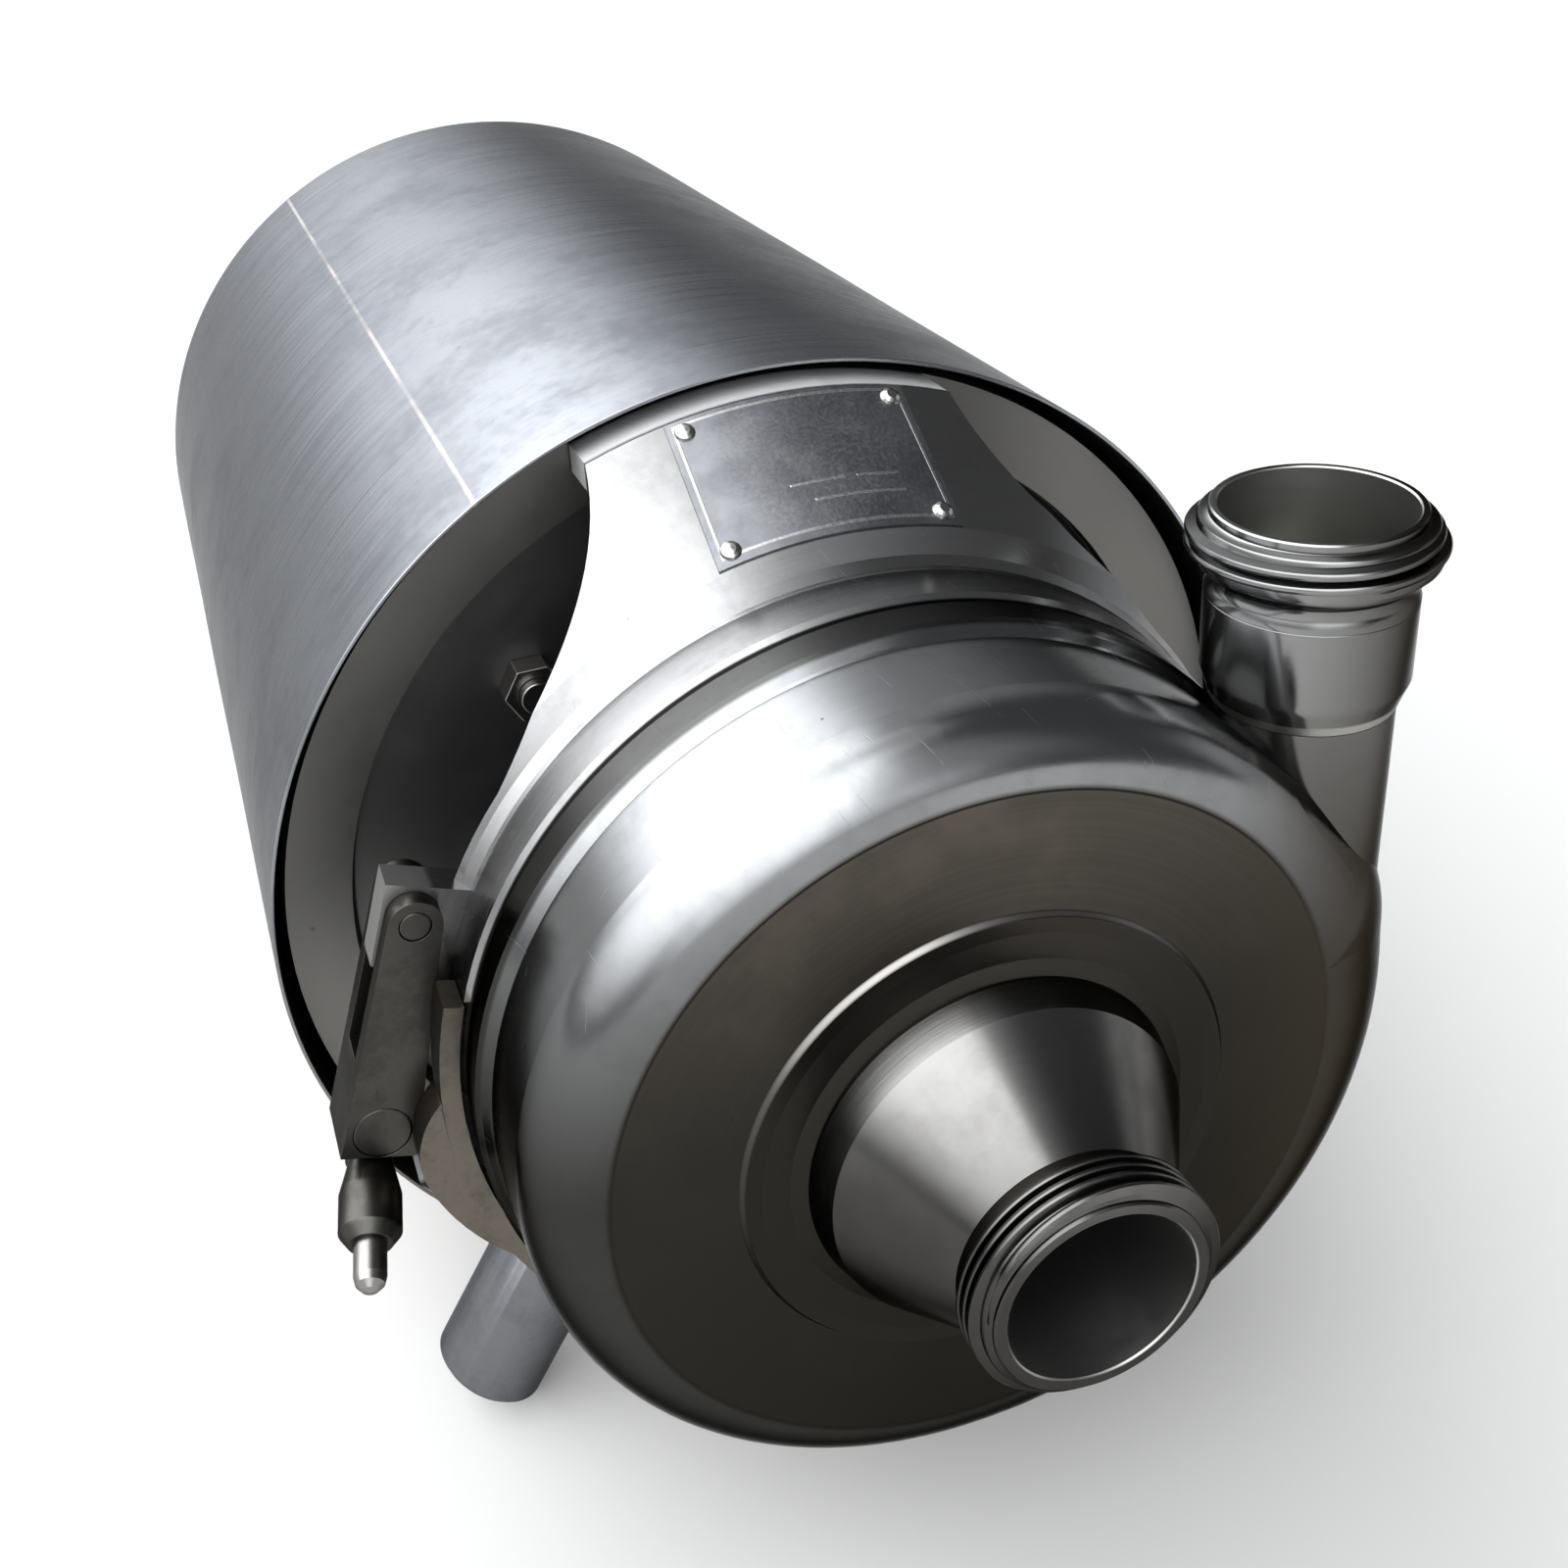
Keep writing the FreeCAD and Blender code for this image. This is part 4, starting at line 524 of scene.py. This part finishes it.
# Bar, turned on a lathe: fine rings about the axis draw the lights out along it.
turned = steel("turned_stainless", "7C7B79", "676563", 0.20, line_mm=0.5, sweep=1.2,
               relief=0.03, zones=inlet_zones)
turned_up = steel("turned_stainless_outlet", "8E8E8D", "787775", 0.15, axis="Z",
                  centre=OUTLET_CENTRE, line_mm=0.5, sweep=1.2, relief=0.03,
                  zones=outlet_zones)
# Casting, ground with a belt: bright, but with short marks and soft lights.
ground = steel("ground_cast_stainless", "929292", "7B7A79", 0.23, line_mm=0.8, sweep=4.0,
               relief=0.03, cloud_mm=45.0, wear=0.5, zones=adaptor_zones)
# Rolled sheet, brushed round the tube: long coarse lines and a broad, streaked light.
brushed = steel("brushed_sheet_stainless", "97999D", "6F7175", 0.28, line_mm=1.6, sweep=1.6,
                relief=0.03, spread=0.24, wear=0.3, zones=shroud_zones)
# Machined and left satin: an even, soft light.
satin = steel("satin_stainless", "8F8D8B", "6D6B68", 0.30, line_mm=0.5, spread=0.12)
# Domed drive rivets: small and bright.
bright = steel("bright_steel_rivets", "B5B3B0", "989693", 0.16, line_mm=0.4, sweep=2.0,
               relief=0.01, spread=0.06)
# Satin strap that stayed under the casing: brownish, and stained in small clouds.
strap_satin = steel("satin_strap_stainless", "6E6860", "4E4943", 0.32, relief=0.03,
                    spread=0.14, cloud_mm=18.0)
# Machined clamp parts, handled for years: dark, dull and worn.
dark_satin = steel("dark_satin_stainless", "4B4A47", "353431", 0.33, sweep=5.0, relief=0.03,
                   spread=0.12, cloud_mm=20.0, wear=0.5)
# Drawn tube of the legs: grey and even, with light wear.
tube_satin = steel("satin_steel_tube", "76777A", "5C5D60", 0.36, line_mm=0.7, sweep=4.0,
                   cloud_mm=25.0, wear=0.4)
# Ground shaft: very fine rings.
shaft = steel("ground_shaft_steel", "A09C98", "87827D", 0.20, line_mm=0.4, sweep=1.0)
print("nodes in the polished finish", len(polished.node_tree.nodes))

# %% [markdown]
# The rest of the pump is hidden, or nearly so: rubber rings and boots, the carbon of the
# shaft seal, the painted castings of the motor, its stack of thin steel sheets, and a
# moulded fan. All look matt, and dark beside the steel, so the short recipe serves them.

# %% Other finishes
rubber = plain("black_nitrile_rubber", "151515", "0D0D0D", 0.62)
carbon = plain("seal_carbon", "1B1B1C", "121213", 0.45)
casting = plain("painted_grey_casting", "4E5356", "43484B", 0.50)
laminations = plain("core_laminations", "55504B", "45413D", 0.50, metallic=0.6)
moulded = plain("moulded_black_polyamide", "1C1C1D", "141415", 0.48)
print("nodes in the rubber", len(rubber.node_tree.nodes))

# %% [markdown]
# The plate was etched: acid left the ground dull and grey, and the untouched frame and
# ruled lines stayed bright and a hair proud. The lines could be thin strips of mesh, but
# they stand only a tenth of a millimetre proud, so the material draws them, in colour and
# in relief. The fields between the lines are bare.

# %% Etched plate
PLATE_MIDDLE_X = 0.004
PLATE_HALF_X = 0.040
PLATE_MIDDLE_Y = (0.1644 + 0.2096) / 2
PLATE_HALF_Y = (0.2096 - 0.1644) / 2
FRAME_X = PLATE_HALF_X - 0.0024
FRAME_Y = PLATE_HALF_Y - 0.0022
FRAME_LINE_HALF = 0.0004
FIELD_LINE_HALF = 0.0003
PLATE_FIELDS = (
    # height above the middle, and the two ends across
    (-0.0068, -0.010, 0.008), (-0.0068, 0.012, 0.026), (-0.0122, -0.004, 0.026),
)
ETCHED_RELIEF_MM = 0.12


def stripe(material, value, centre, half_width):
    """1 within half_width of the centre of a coordinate, in metres, and 0 beyond."""
    away = add(material, "ABSOLUTE", add(material, "SUBTRACT", value, centre))
    return add(material, "MapRange", away, half_width * 0.8, half_width * 1.2, 1.0, 0.0,
               **SMOOTH)


def frame_side(material, value, other, at, other_at):
    """One pair of sides of the frame, which stops where it meets the other pair."""
    inside = add(material, "MapRange", other, other_at + 0.0002, other_at + 0.0004, 1.0, 0.0,
                 **SMOOTH)
    return add(material, "MULTIPLY", stripe(material, value, at, FRAME_LINE_HALF), inside)


def ruled_lines(material, place):
    parts = add(material, "SeparateXYZ", place).outputs
    across = add(material, "SUBTRACT", parts[0], PLATE_MIDDLE_X)
    along = parts[1]
    mirrored_x = add(material, "ABSOLUTE", across)
    mirrored_y = add(material, "ABSOLUTE", add(material, "SUBTRACT", along, PLATE_MIDDLE_Y))
    proud = add(material, "MAXIMUM",
                frame_side(material, mirrored_x, mirrored_y, FRAME_X, FRAME_Y),
                frame_side(material, mirrored_y, mirrored_x, FRAME_Y, FRAME_X))
    for row_y, row_from, row_to in PLATE_FIELDS:
        row = stripe(material, along, PLATE_MIDDLE_Y + row_y, FIELD_LINE_HALF)
        length = band(material, across, row_from, row_to, soft=0.0002)
        proud = add(material, "MAXIMUM", proud, add(material, "MULTIPLY", row, length))
    return proud


def etched_plate():
    material = blank("etched_nameplate_metal")
    place = add(material, "TexCoord").outputs["Object"]
    proud = ruled_lines(material, place)
    grain = add(material, "TexNoise", place, Scale=900.0, Detail=3.0, Roughness=0.7)
    rubbed = add(material, "TexNoise", place, Scale=55.0, Detail=4.0, Roughness=0.6)
    rubbed = add(material, "MapRange", rubbed, 0.35, 0.7, **SMOOTH)
    colour = cover(material, linear("7B7C80"), rubbed, "929396")
    colour = cover(material, colour, proud, "D2D1CE")
    rough = add(material, "MapRange", grain, 0.3, 0.7, 0.30, 0.42, **SMOOTH)
    rough = roughen(material, rough, proud, -0.08)
    height = add(material, "ADD", proud, add(material, "MULTIPLY", grain, 0.15))
    bump = add(material, "Bump", Strength=0.7, Distance=ETCHED_RELIEF_MM * MM, Height=height)
    surface = add(material, "BsdfPrincipled", Base_Color=colour, Metallic=1.0,
                  Roughness=rough, Normal=bump)
    add(material, "OutputMaterial", Surface=surface)
    return material


etched = etched_plate()
print("ruled lines", len(PLATE_FIELDS), "nodes", len(etched.node_tree.nodes))

# %% [markdown]
# Each solid that keeps its own mesh takes its finish here, by name. A table is used rather
# than a choice piece by piece, so that like pieces can't drift apart.

# %% Finishes on the solids
NODE_FINISH = {
    "casing": polished, "inlet_nozzle": turned, "inlet_male_end": turned,
    "outlet_sleeve": turned_up, "outlet_male_end": turned_up, "back_plate": satin,
    "casing_joint_ring": rubber, "seal_seat": carbon, "adaptor": ground,
    "flange_studs": satin, "flange_nuts": satin, "nameplate": etched,
    "nameplate_rivets": bright, "clamp_fork": dark_satin, "lug_pin": dark_satin,
    "trunnion": dark_satin, "clamp_screw": dark_satin, "clamp_lever_boss": dark_satin,
    "clamp_lever_rod": satin, "clamp_strap": strap_satin, "strap_hinge_pin": dark_satin,
    "front_leg_left": tube_satin, "front_leg_right": tube_satin, "rear_foot": rubber,
    "impeller": satin, "impeller_nut": satin, "pump_shaft": shaft, "seal_face": carbon,
    "seal_boot": rubber, "seal_collar": satin, "slinger": rubber, "shaft_clamp_ring": satin,
    "motor_shaft": shaft, "rotor_core": laminations, "stator_core": laminations,
    "bearing_front": shaft, "bearing_rear": shaft, "motor_front_shield": casting,
    "motor_rear_shield": casting, "motor_frame": casting, "fan": moulded, "shroud": brushed,
    "shroud_brackets": satin, "shroud_end": brushed, "cable_gland": moulded,
}
for node_name, finish in NODE_FINISH.items():
    node_mesh = frame["nodes"][node_name].data
    node_mesh.materials.clear()
    node_mesh.materials.append(finish)
print("solids with a finish", len(NODE_FINISH))

# %% [markdown]
# Real edges are never sharp. A fillet on every edge of the solid would catch light too,
# but would cost many faces there. So a piece with flat faces and hard corners is copied,
# the loose triangles of its mesh are merged, and a narrow bevel is left live on it, which
# catches a thin line of light. The copy stands for the solid that it came from.

# %% Softened copies
BODY_OF = {node: body for body, nodes in frame["record"]["behaviour"]["bodies"].items()
           for node in nodes}
EDGE_MM = {
    "clamp_fork": 0.9, "lug_pin": 0.8, "trunnion": 0.8, "clamp_strap": 0.8,
    "clamp_lever_boss": 0.7, "flange_nuts": 0.6, "flange_studs": 0.8, "outlet_sleeve": 0.4,
    "front_leg_left": 0.8, "front_leg_right": 0.8, "shroud_end": 0.4, "cable_gland": 0.6,
    "rear_foot": 1.0, "back_plate": 0.5, "strap_hinge_pin": 0.4,
}
FLAT_DEG = 0.3
SMOOTH_DEG = 35.0
BEVEL_FROM_DEG = 30.0


def stand_for(piece, *nodes):
    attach(piece, BODY_OF[nodes[0]])
    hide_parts(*nodes)
    return piece


def merged(node_name):
    """A bmesh of a solid with its triangles joined into flat faces."""
    shape = bmesh.new()
    shape.from_mesh(frame["nodes"][node_name].data)
    bmesh.ops.remove_doubles(shape, verts=shape.verts, dist=1e-6)
    bmesh.ops.dissolve_limit(shape, angle_limit=math.radians(FLAT_DEG), verts=shape.verts,
                             edges=shape.edges, delimit={"NORMAL"})
    return shape


def finished(shape, name, finish, smooth_deg=SMOOTH_DEG):
    """Turns a bmesh into a shaded object with its material, and frees the bmesh."""
    mesh = bpy.data.meshes.new(name)
    shape.to_mesh(mesh)
    shape.free()
    mesh.shade_smooth()
    mesh.set_sharp_from_angle(angle=math.radians(smooth_deg))
    mesh.materials.append(finish)
    piece = bpy.data.objects.new(name, mesh)
    bpy.context.scene.collection.objects.link(piece)
    return piece


def soften(piece, width_mm):
    bevel = piece.modifiers.new("soft_edges", "BEVEL")
    bevel.width = width_mm * MM
    bevel.segments = 2
    bevel.limit_method = "ANGLE"
    bevel.angle_limit = math.radians(BEVEL_FROM_DEG)
    bevel.harden_normals = True
    bevel.use_clamp_overlap = True
    return piece


for node_name, width in EDGE_MM.items():
    copy = finished(merged(node_name), node_name + "_edged", NODE_FINISH[node_name])
    stand_for(soften(copy, width), node_name)
print("softened copies", len(EDGE_MM))

# %% [markdown]
# A male dairy thread is a rounded ridge wound round a turned pipe end. A Screw modifier
# could wind it, but the spin operator does it in one call: it turns an outline about the
# axis while it climbs by one pitch a turn. First comes the plain turned core, which is the
# same spin without the climb, closed after one full turn.

# %% Turned outlines
SIDEWAYS = Vector((1, 0, 0))
BACK = Vector((0, 1, 0))
UP = Vector((0, 0, 1))
TURN_STEPS = 160


def outline_ring(points, start, axis):
    """A closed ring of edges through (radius, height) points in millimetres."""
    shape = bmesh.new()
    corners = [shape.verts.new(start + (SIDEWAYS * radius + axis * height) * MM)
               for radius, height in points]
    for first, second in zip(corners, corners[1:] + corners[:1]):
        shape.edges.new((first, second))
    return shape


def turn_outline(points, axis, centre):
    """Spins a closed outline of (radius, height) millimetre points about an axis."""
    shape = outline_ring(points, centre, axis)
    bmesh.ops.spin(shape, geom=shape.verts[:] + shape.edges[:], cent=centre, axis=axis,
                   angle=math.tau, steps=TURN_STEPS, use_merge=True)
    bmesh.ops.remove_doubles(shape, verts=shape.verts, dist=1e-7)
    bmesh.ops.recalc_face_normals(shape, faces=shape.faces)
    return shape


print("one step of a full turn is", 360 / TURN_STEPS, "degrees")

# %% [markdown]
# The ridge starts a little inside the core, so that no gap shows at its foot. A ridge that
# simply stopped would end in a sharp tooth. On the real thread it runs out, so the first
# and the last third of a turn sink into the core.

# %% Thread ridges
RIDGE_STEPS_A_TURN = 120
RIDGE_ROOT_MM = 0.6
RIDGE_ROUND_MM = 0.35
RUN_OUT_TURNS = 0.35
SUNK_MM = 0.7


def run_out(shape, root, pitch, first_height, turns, axis, centre):
    """Sinks both ends of a wound ridge below the core's radius."""
    for corner in shape.verts:
        offset = corner.co - centre
        along = axis * offset.dot(axis)
        radial = offset - along
        angle = math.atan2(radial.cross(SIDEWAYS).dot(-axis), radial.dot(SIDEWAYS)) % math.tau
        climbed = (offset.dot(axis) / MM - first_height) / pitch
        travelled = round(climbed - angle / math.tau) + angle / math.tau
        fade = min(1.0, max(0.0, travelled / RUN_OUT_TURNS),
                   max(0.0, (turns - travelled) / RUN_OUT_TURNS))
        wanted = root - SUNK_MM + (radial.length / MM - root + SUNK_MM) * fade
        corner.co = centre + along + radial.normalized() * wanted * MM


def wind_ridge(root, crest, pitch, low, high, axis, centre, end_deg):
    """A rounded ridge wound from low to high, in millimetres, with ends that run out."""
    half = pitch * 0.5
    side = [(root - RIDGE_ROOT_MM, 0.98), (root, 0.90), (crest - RIDGE_ROUND_MM, 0.50),
            (crest, 0.22)]
    points = [(radius, -half * share) for radius, share in side]
    points += [(radius, half * share) for radius, share in reversed(side)]
    turns = (high - low - pitch) / pitch
    steps = int(turns * RIDGE_STEPS_A_TURN)
    start = centre + axis * (low + half) * MM
    shape = outline_ring(points, start, axis)
    bmesh.ops.spin(shape, geom=shape.verts[:] + shape.edges[:], cent=start, axis=axis,
                   dvec=axis * (turns * pitch * MM / steps), angle=math.tau * turns,
                   steps=steps)
    bmesh.ops.holes_fill(shape, edges=[edge for edge in shape.edges if edge.is_boundary])
    run_out(shape, root, pitch, low + half, turns, axis, centre)
    turn_by = math.radians(end_deg) - math.tau * (turns % 1)
    bmesh.ops.rotate(shape, verts=shape.verts, cent=centre,
                     matrix=Matrix.Rotation(turn_by, 3, axis))
    bmesh.ops.recalc_face_normals(shape, faces=shape.faces)
    return shape


def join(shapes, name, finish):
    whole = bmesh.new()
    for shape in shapes:
        part = bpy.data.meshes.new("part")
        shape.to_mesh(part)
        shape.free()
        whole.from_mesh(part)
        bpy.data.meshes.remove(part)
    return finished(whole, name, finish)


print("a ridge runs out over", RUN_OUT_TURNS, "of a turn")

# %% [markdown]
# The inlet's end lies on the shaft's axis and looks to the front. Its thread is fine, with
# a pitch of 3.175 mm, on a core that has a small chamfer at its mouth. It could be cut from
# cylinders, but a turner's outline, in millimetres, is easier to set against the real one.

# %% Inlet end
inlet_centre = Vector((0, 0, 0))
inlet_core = turn_outline([
    (27.4, 0.5), (27.9, 0.0), (30.7, 0.0), (31.2, 0.5), (31.3, 1.2), (33.0, 2.0), (33.3, 2.6),
    (33.3, 16.0), (33.2, 18.0), (27.4, 18.0),
], BACK, inlet_centre)
inlet_ridge = wind_ridge(root=33.3, crest=36.1, pitch=3.175, low=0.6, high=16.9, axis=BACK,
                         centre=inlet_centre, end_deg=234.0)
inlet_end = join([inlet_core, inlet_ridge], "inlet_threaded_end", turned)
stand_for(inlet_end, "inlet_male_end")
print("inlet end", len(inlet_end.data.polygons), "faces")

# %% [markdown]
# The outlet's end stands upright on its sleeve. Its thread is coarser, 6 to the inch, and
# under it the core narrows to a concave neck before it meets the sleeve. A copy of the
# inlet's end would have the wrong thread and no neck, so it gets an outline of its own.

# %% Outlet end
outlet_centre = Vector(OUTLET_CENTRE)
outlet_core = turn_outline([
    (27.4, 157.0), (27.9, 157.5), (29.3, 157.5), (29.8, 157.0), (29.8, 154.8), (30.4, 154.4),
    (32.6, 154.0), (33.0, 153.4), (33.0, 141.6), (32.4, 140.0), (29.3, 137.4), (28.9, 136.6),
    (28.9, 134.2), (29.2, 133.2), (30.0, 131.2), (30.0, 130.0), (27.4, 130.0),
], UP, outlet_centre)
outlet_ridge = wind_ridge(root=33.0, crest=36.2, pitch=4.233, low=140.0, high=154.4, axis=UP,
                          centre=outlet_centre, end_deg=20.0)
outlet_end = join([outlet_core, outlet_ridge], "outlet_threaded_end", turned_up)
stand_for(outlet_end, "outlet_male_end")
print("outlet end", len(outlet_end.data.polygons), "faces")

# %% [markdown]
# The motor hides in a tube rolled from thin sheet and welded along one line. A primitive
# cylinder would be too perfect. So one ring is extruded along the shaft, row by row, and
# each point is then moved in or out by up to a quarter of a millimetre, which bends the
# reflections as rolled sheet does and leaves the weld a little proud. A Solidify modifier
# gives the wall.

# %% Shroud
SHROUD_FRONT_MM = 220.0
SHROUD_BACK_MM = 705.0
SHEET_MM = 1.4
ROUND_STEPS = 256
ROWS = 24
SEAM_RAISED_MM = 0.25
SEAM_SPREAD_DEG = 1.5


def waviness(angle, along):
    """How far rolled sheet lies from a true cylinder, in millimetres."""
    return 0.12 * math.sin(angle * 3 + along * 9) + 0.08 * math.sin(along * 31)


def rolled_tube():
    shape = bmesh.new()
    radius = SHROUD_R_MM * MM
    ring = bmesh.ops.create_circle(shape, segments=ROUND_STEPS, radius=radius)["verts"]
    bmesh.ops.rotate(shape, verts=ring, matrix=Matrix.Rotation(math.radians(90), 3, "X"))
    bmesh.ops.translate(shape, verts=ring, vec=BACK * SHROUD_FRONT_MM * MM)
    step = BACK * ((SHROUD_BACK_MM - SHROUD_FRONT_MM) / ROWS) * MM
    edges = shape.edges[:]
    for _ in range(ROWS):
        made = bmesh.ops.extrude_edge_only(shape, edges=edges)["geom"]
        bmesh.ops.translate(shape, verts=[item for item in made
                                          if isinstance(item, bmesh.types.BMVert)], vec=step)
        edges = [item for item in made if isinstance(item, bmesh.types.BMEdge)]
    seam = math.radians(SEAM_DEG)
    for corner in shape.verts:
        angle = math.atan2(corner.co.z, corner.co.x)
        near = max(0.0, 1 - abs(angle - seam) / math.radians(SEAM_SPREAD_DEG))
        moved = SEAM_RAISED_MM * near + waviness(angle, corner.co.y) * (1 - near)
        outward = Vector((corner.co.x, 0, corner.co.z)).normalized()
        corner.co += outward * moved * MM
    bmesh.ops.recalc_face_normals(shape, faces=shape.faces)
    return shape


shroud = finished(rolled_tube(), "shroud_rolled", brushed, smooth_deg=60.0)
wall = shroud.modifiers.new("sheet_wall", "SOLIDIFY")
wall.thickness = SHEET_MM * MM
wall.offset = -1.0
soften(shroud, width_mm=0.4)
stand_for(shroud, "shroud")
print("shroud", len(shroud.data.polygons), "faces before its wall")

# %% [markdown]
# A plain pale floor runs far back to a low pale wall, which shows as white to the camera
# and in the metal. More light could make both white, but would wash out the pump. So the
# floor is a pale paint with a slight glow, and the wall glows fully, each for the rays
# that are seen alone: the light path tells those from the rays that light the pump.

# %% Floor and backdrop
FLOOR_Z = cad_low[2]
FLOOR_HALF = 24.0
FLOOR_LIFT = 0.08
WALL_Y = 20.0
WALL_HEIGHT = 2.4


def flat_sheet(corner, turn_deg):
    shape = bmesh.new()
    bmesh.ops.create_grid(shape, x_segments=2, y_segments=2, size=FLOOR_HALF)
    bmesh.ops.rotate(shape, verts=shape.verts,
                     matrix=Matrix.Rotation(math.radians(turn_deg), 3, "X"))
    bmesh.ops.translate(shape, verts=shape.verts, vec=corner)
    return shape


def pale_paint(name, shade, second):
    """Matt paint in two near tones, as its material, its tone and its shader."""
    material = blank(name)
    place = add(material, "TexCoord").outputs["Object"]
    uneven = add(material, "TexNoise", place, Scale=1.5, Detail=3.0, Roughness=0.55)
    tone = cover(material, linear(shade), uneven, second)
    matt = add(material, "BsdfPrincipled", Base_Color=tone, Roughness=0.9)
    return material, tone, matt


def shown_rays(material):
    """1 for the camera and for what metal or glass shows, 0 for the light itself."""
    ray = add(material, "LightPath").outputs
    return add(material, "MAXIMUM", ray["Is Camera Ray"],
               add(material, "MAXIMUM", ray["Is Glossy Ray"], ray["Is Transmission Ray"]))


floor_paint, floor_tone, floor_matt = pale_paint("pale_floor_paint", "F4F3F1", "F1F0EE")
lift = add(floor_paint, "Emission", floor_tone,
           add(floor_paint, "MULTIPLY", shown_rays(floor_paint), FLOOR_LIFT))
add(floor_paint, "OutputMaterial", add(floor_paint, "AddShader", floor_matt, lift))
floor = finished(flat_sheet((0, 0, FLOOR_Z), 0), "floor", floor_paint)

wall_paint, wall_tone, wall_matt = pale_paint("pale_backdrop", "FAF9F8", "F7F6F5")
glow = add(wall_paint, "Emission", wall_tone, 1.0)
add(wall_paint, "OutputMaterial",
    add(wall_paint, "MixShader", shown_rays(wall_paint), wall_matt, glow))
wall_sheet = flat_sheet((0, WALL_Y, 0), 90)
for corner in wall_sheet.verts:
    corner.co.z = FLOOR_Z + WALL_HEIGHT * (0.5 + 0.5 * corner.co.z / FLOOR_HALF)
backdrop = finished(wall_sheet, "backdrop", wall_paint)
print("floor", 2 * FLOOR_HALF, "m across, wall", WALL_HEIGHT, "m high")

# %% [markdown]
# Polished metal shows little but what surrounds it, so the shapes of the lights matter
# more than their strength. Area lamps would do, but the world can hold soft windows of any
# shape. One very broad window lies on the left and fades towards the floor, with a wide dim
# spill about it and a dim patch overhead. Two small ones lie low, one in front and one at
# the back, and a weak one lies low on the right. Between them the sky is dull. The metal
# shows the windows brighter than they light the pump, and the camera sees plain white.

# %% Studio sky
SKY_COLOUR = "F3F5F8"
SKY_DULL = 0.24
SKY_DULL_SHOWN = 0.13
SHOWN_GAIN = 2.6
LEFT, RIGHT = -1, 1
PANELS = (
    # side, degrees round from it to the back, height, half width, half height,
    # soft edge across, soft edge up and down, strength
    (LEFT, 0.0, 50.0, 95.0, 33.0, 10.0, 24.0, 1.6),
    (LEFT, 4.0, 55.0, 130.0, 36.0, 22.0, 16.0, 0.2),
    (LEFT, 0.0, 87.0, 185.0, 15.0, 2.0, 5.0, 0.25),
    (LEFT, -84.0, 12.0, 26.0, 12.0, 10.0, 10.0, 0.5),
    (LEFT, 74.0, 23.0, 31.0, 8.0, 6.0, 6.0, 0.8),
    (RIGHT, 4.0, 7.0, 22.0, 9.0, 7.0, 7.0, 0.25),
)


def soft_limit(owner, angle, middle_deg, half_deg, soft_deg):
    """1 within half of the middle of an angle, falling to 0 over a soft edge."""
    off = add(owner, "ABSOLUTE", add(owner, "SUBTRACT", angle, math.radians(middle_deg)))
    return add(owner, "MapRange", off, math.radians(half_deg - soft_deg),
               math.radians(half_deg + soft_deg), 1.0, 0.0, **SMOOTH)


sky = bpy.data.worlds.new("studio_sky")
bpy.context.scene.world = sky
sky.use_nodes = True
sky.node_tree.nodes.clear()
aim = add(sky, "SeparateXYZ", add(sky, "TexCoord").outputs["Generated"]).outputs
height = add(sky, "ARCSINE", aim[2])
lit = 0.0
for side, round_deg, high_deg, half_w, half_h, soft_w, soft_h, strength in PANELS:
    turn = add(sky, "ARCTAN2", aim[1], add(sky, "MULTIPLY", aim[0], side))
    mask = add(sky, "MULTIPLY", soft_limit(sky, turn, round_deg, half_w, soft_w),
               soft_limit(sky, height, high_deg, half_h, soft_h))
    lit = add(sky, "ADD", lit, add(sky, "MULTIPLY", mask, strength))
rays = add(sky, "LightPath").outputs
cast_level = add(sky, "ADD", lit, SKY_DULL)
shown_level = add(sky, "ADD", add(sky, "MULTIPLY", lit, SHOWN_GAIN), SKY_DULL_SHOWN)
in_metal = add(sky, "MAXIMUM", rays["Is Glossy Ray"], rays["Is Transmission Ray"])
level = add(sky, "Mix", in_metal, cast_level, shown_level, data_type="FLOAT")
level = add(sky, "Mix", rays["Is Camera Ray"], level, 1.0, data_type="FLOAT")
add(sky, "OutputWorld", add(sky, "Background", linear(SKY_COLOUR), level))
print("sky windows", len(PANELS))

# %% [markdown]
# The sky alone leaves the pump floating, because its light comes from all round. One lamp
# gives the shadow a direction, from the upper left. A point lamp would draw a hard shadow,
# so this is a sun, and a very wide one, which keeps the edge of its shadow soft.

# %% Soft sun
SUN_FROM = Vector((-0.62, -0.10, 0.78))
SUN_STRENGTH = 0.5
SUN_WIDTH_DEG = 90
sun_data = bpy.data.lights.new("soft_sun", "SUN")
sun_data.energy = SUN_STRENGTH
sun_data.angle = math.radians(SUN_WIDTH_DEG)
sun = bpy.data.objects.new("soft_sun", sun_data)
sun.rotation_euler = (-SUN_FROM).to_track_quat("-Z", "Y").to_euler()
bpy.context.scene.collection.objects.link(sun)
print("sun", SUN_WIDTH_DEG, "degrees wide")

# %% [markdown]
# Blender's own view would squeeze the bright tones, as film does. The Standard view shows
# each colour as it was written. The size of the solids is then printed.

# %% View and sizes
bpy.context.scene.view_settings.view_transform = "Standard"
print("cad", list(cad_low), list(cad_high))
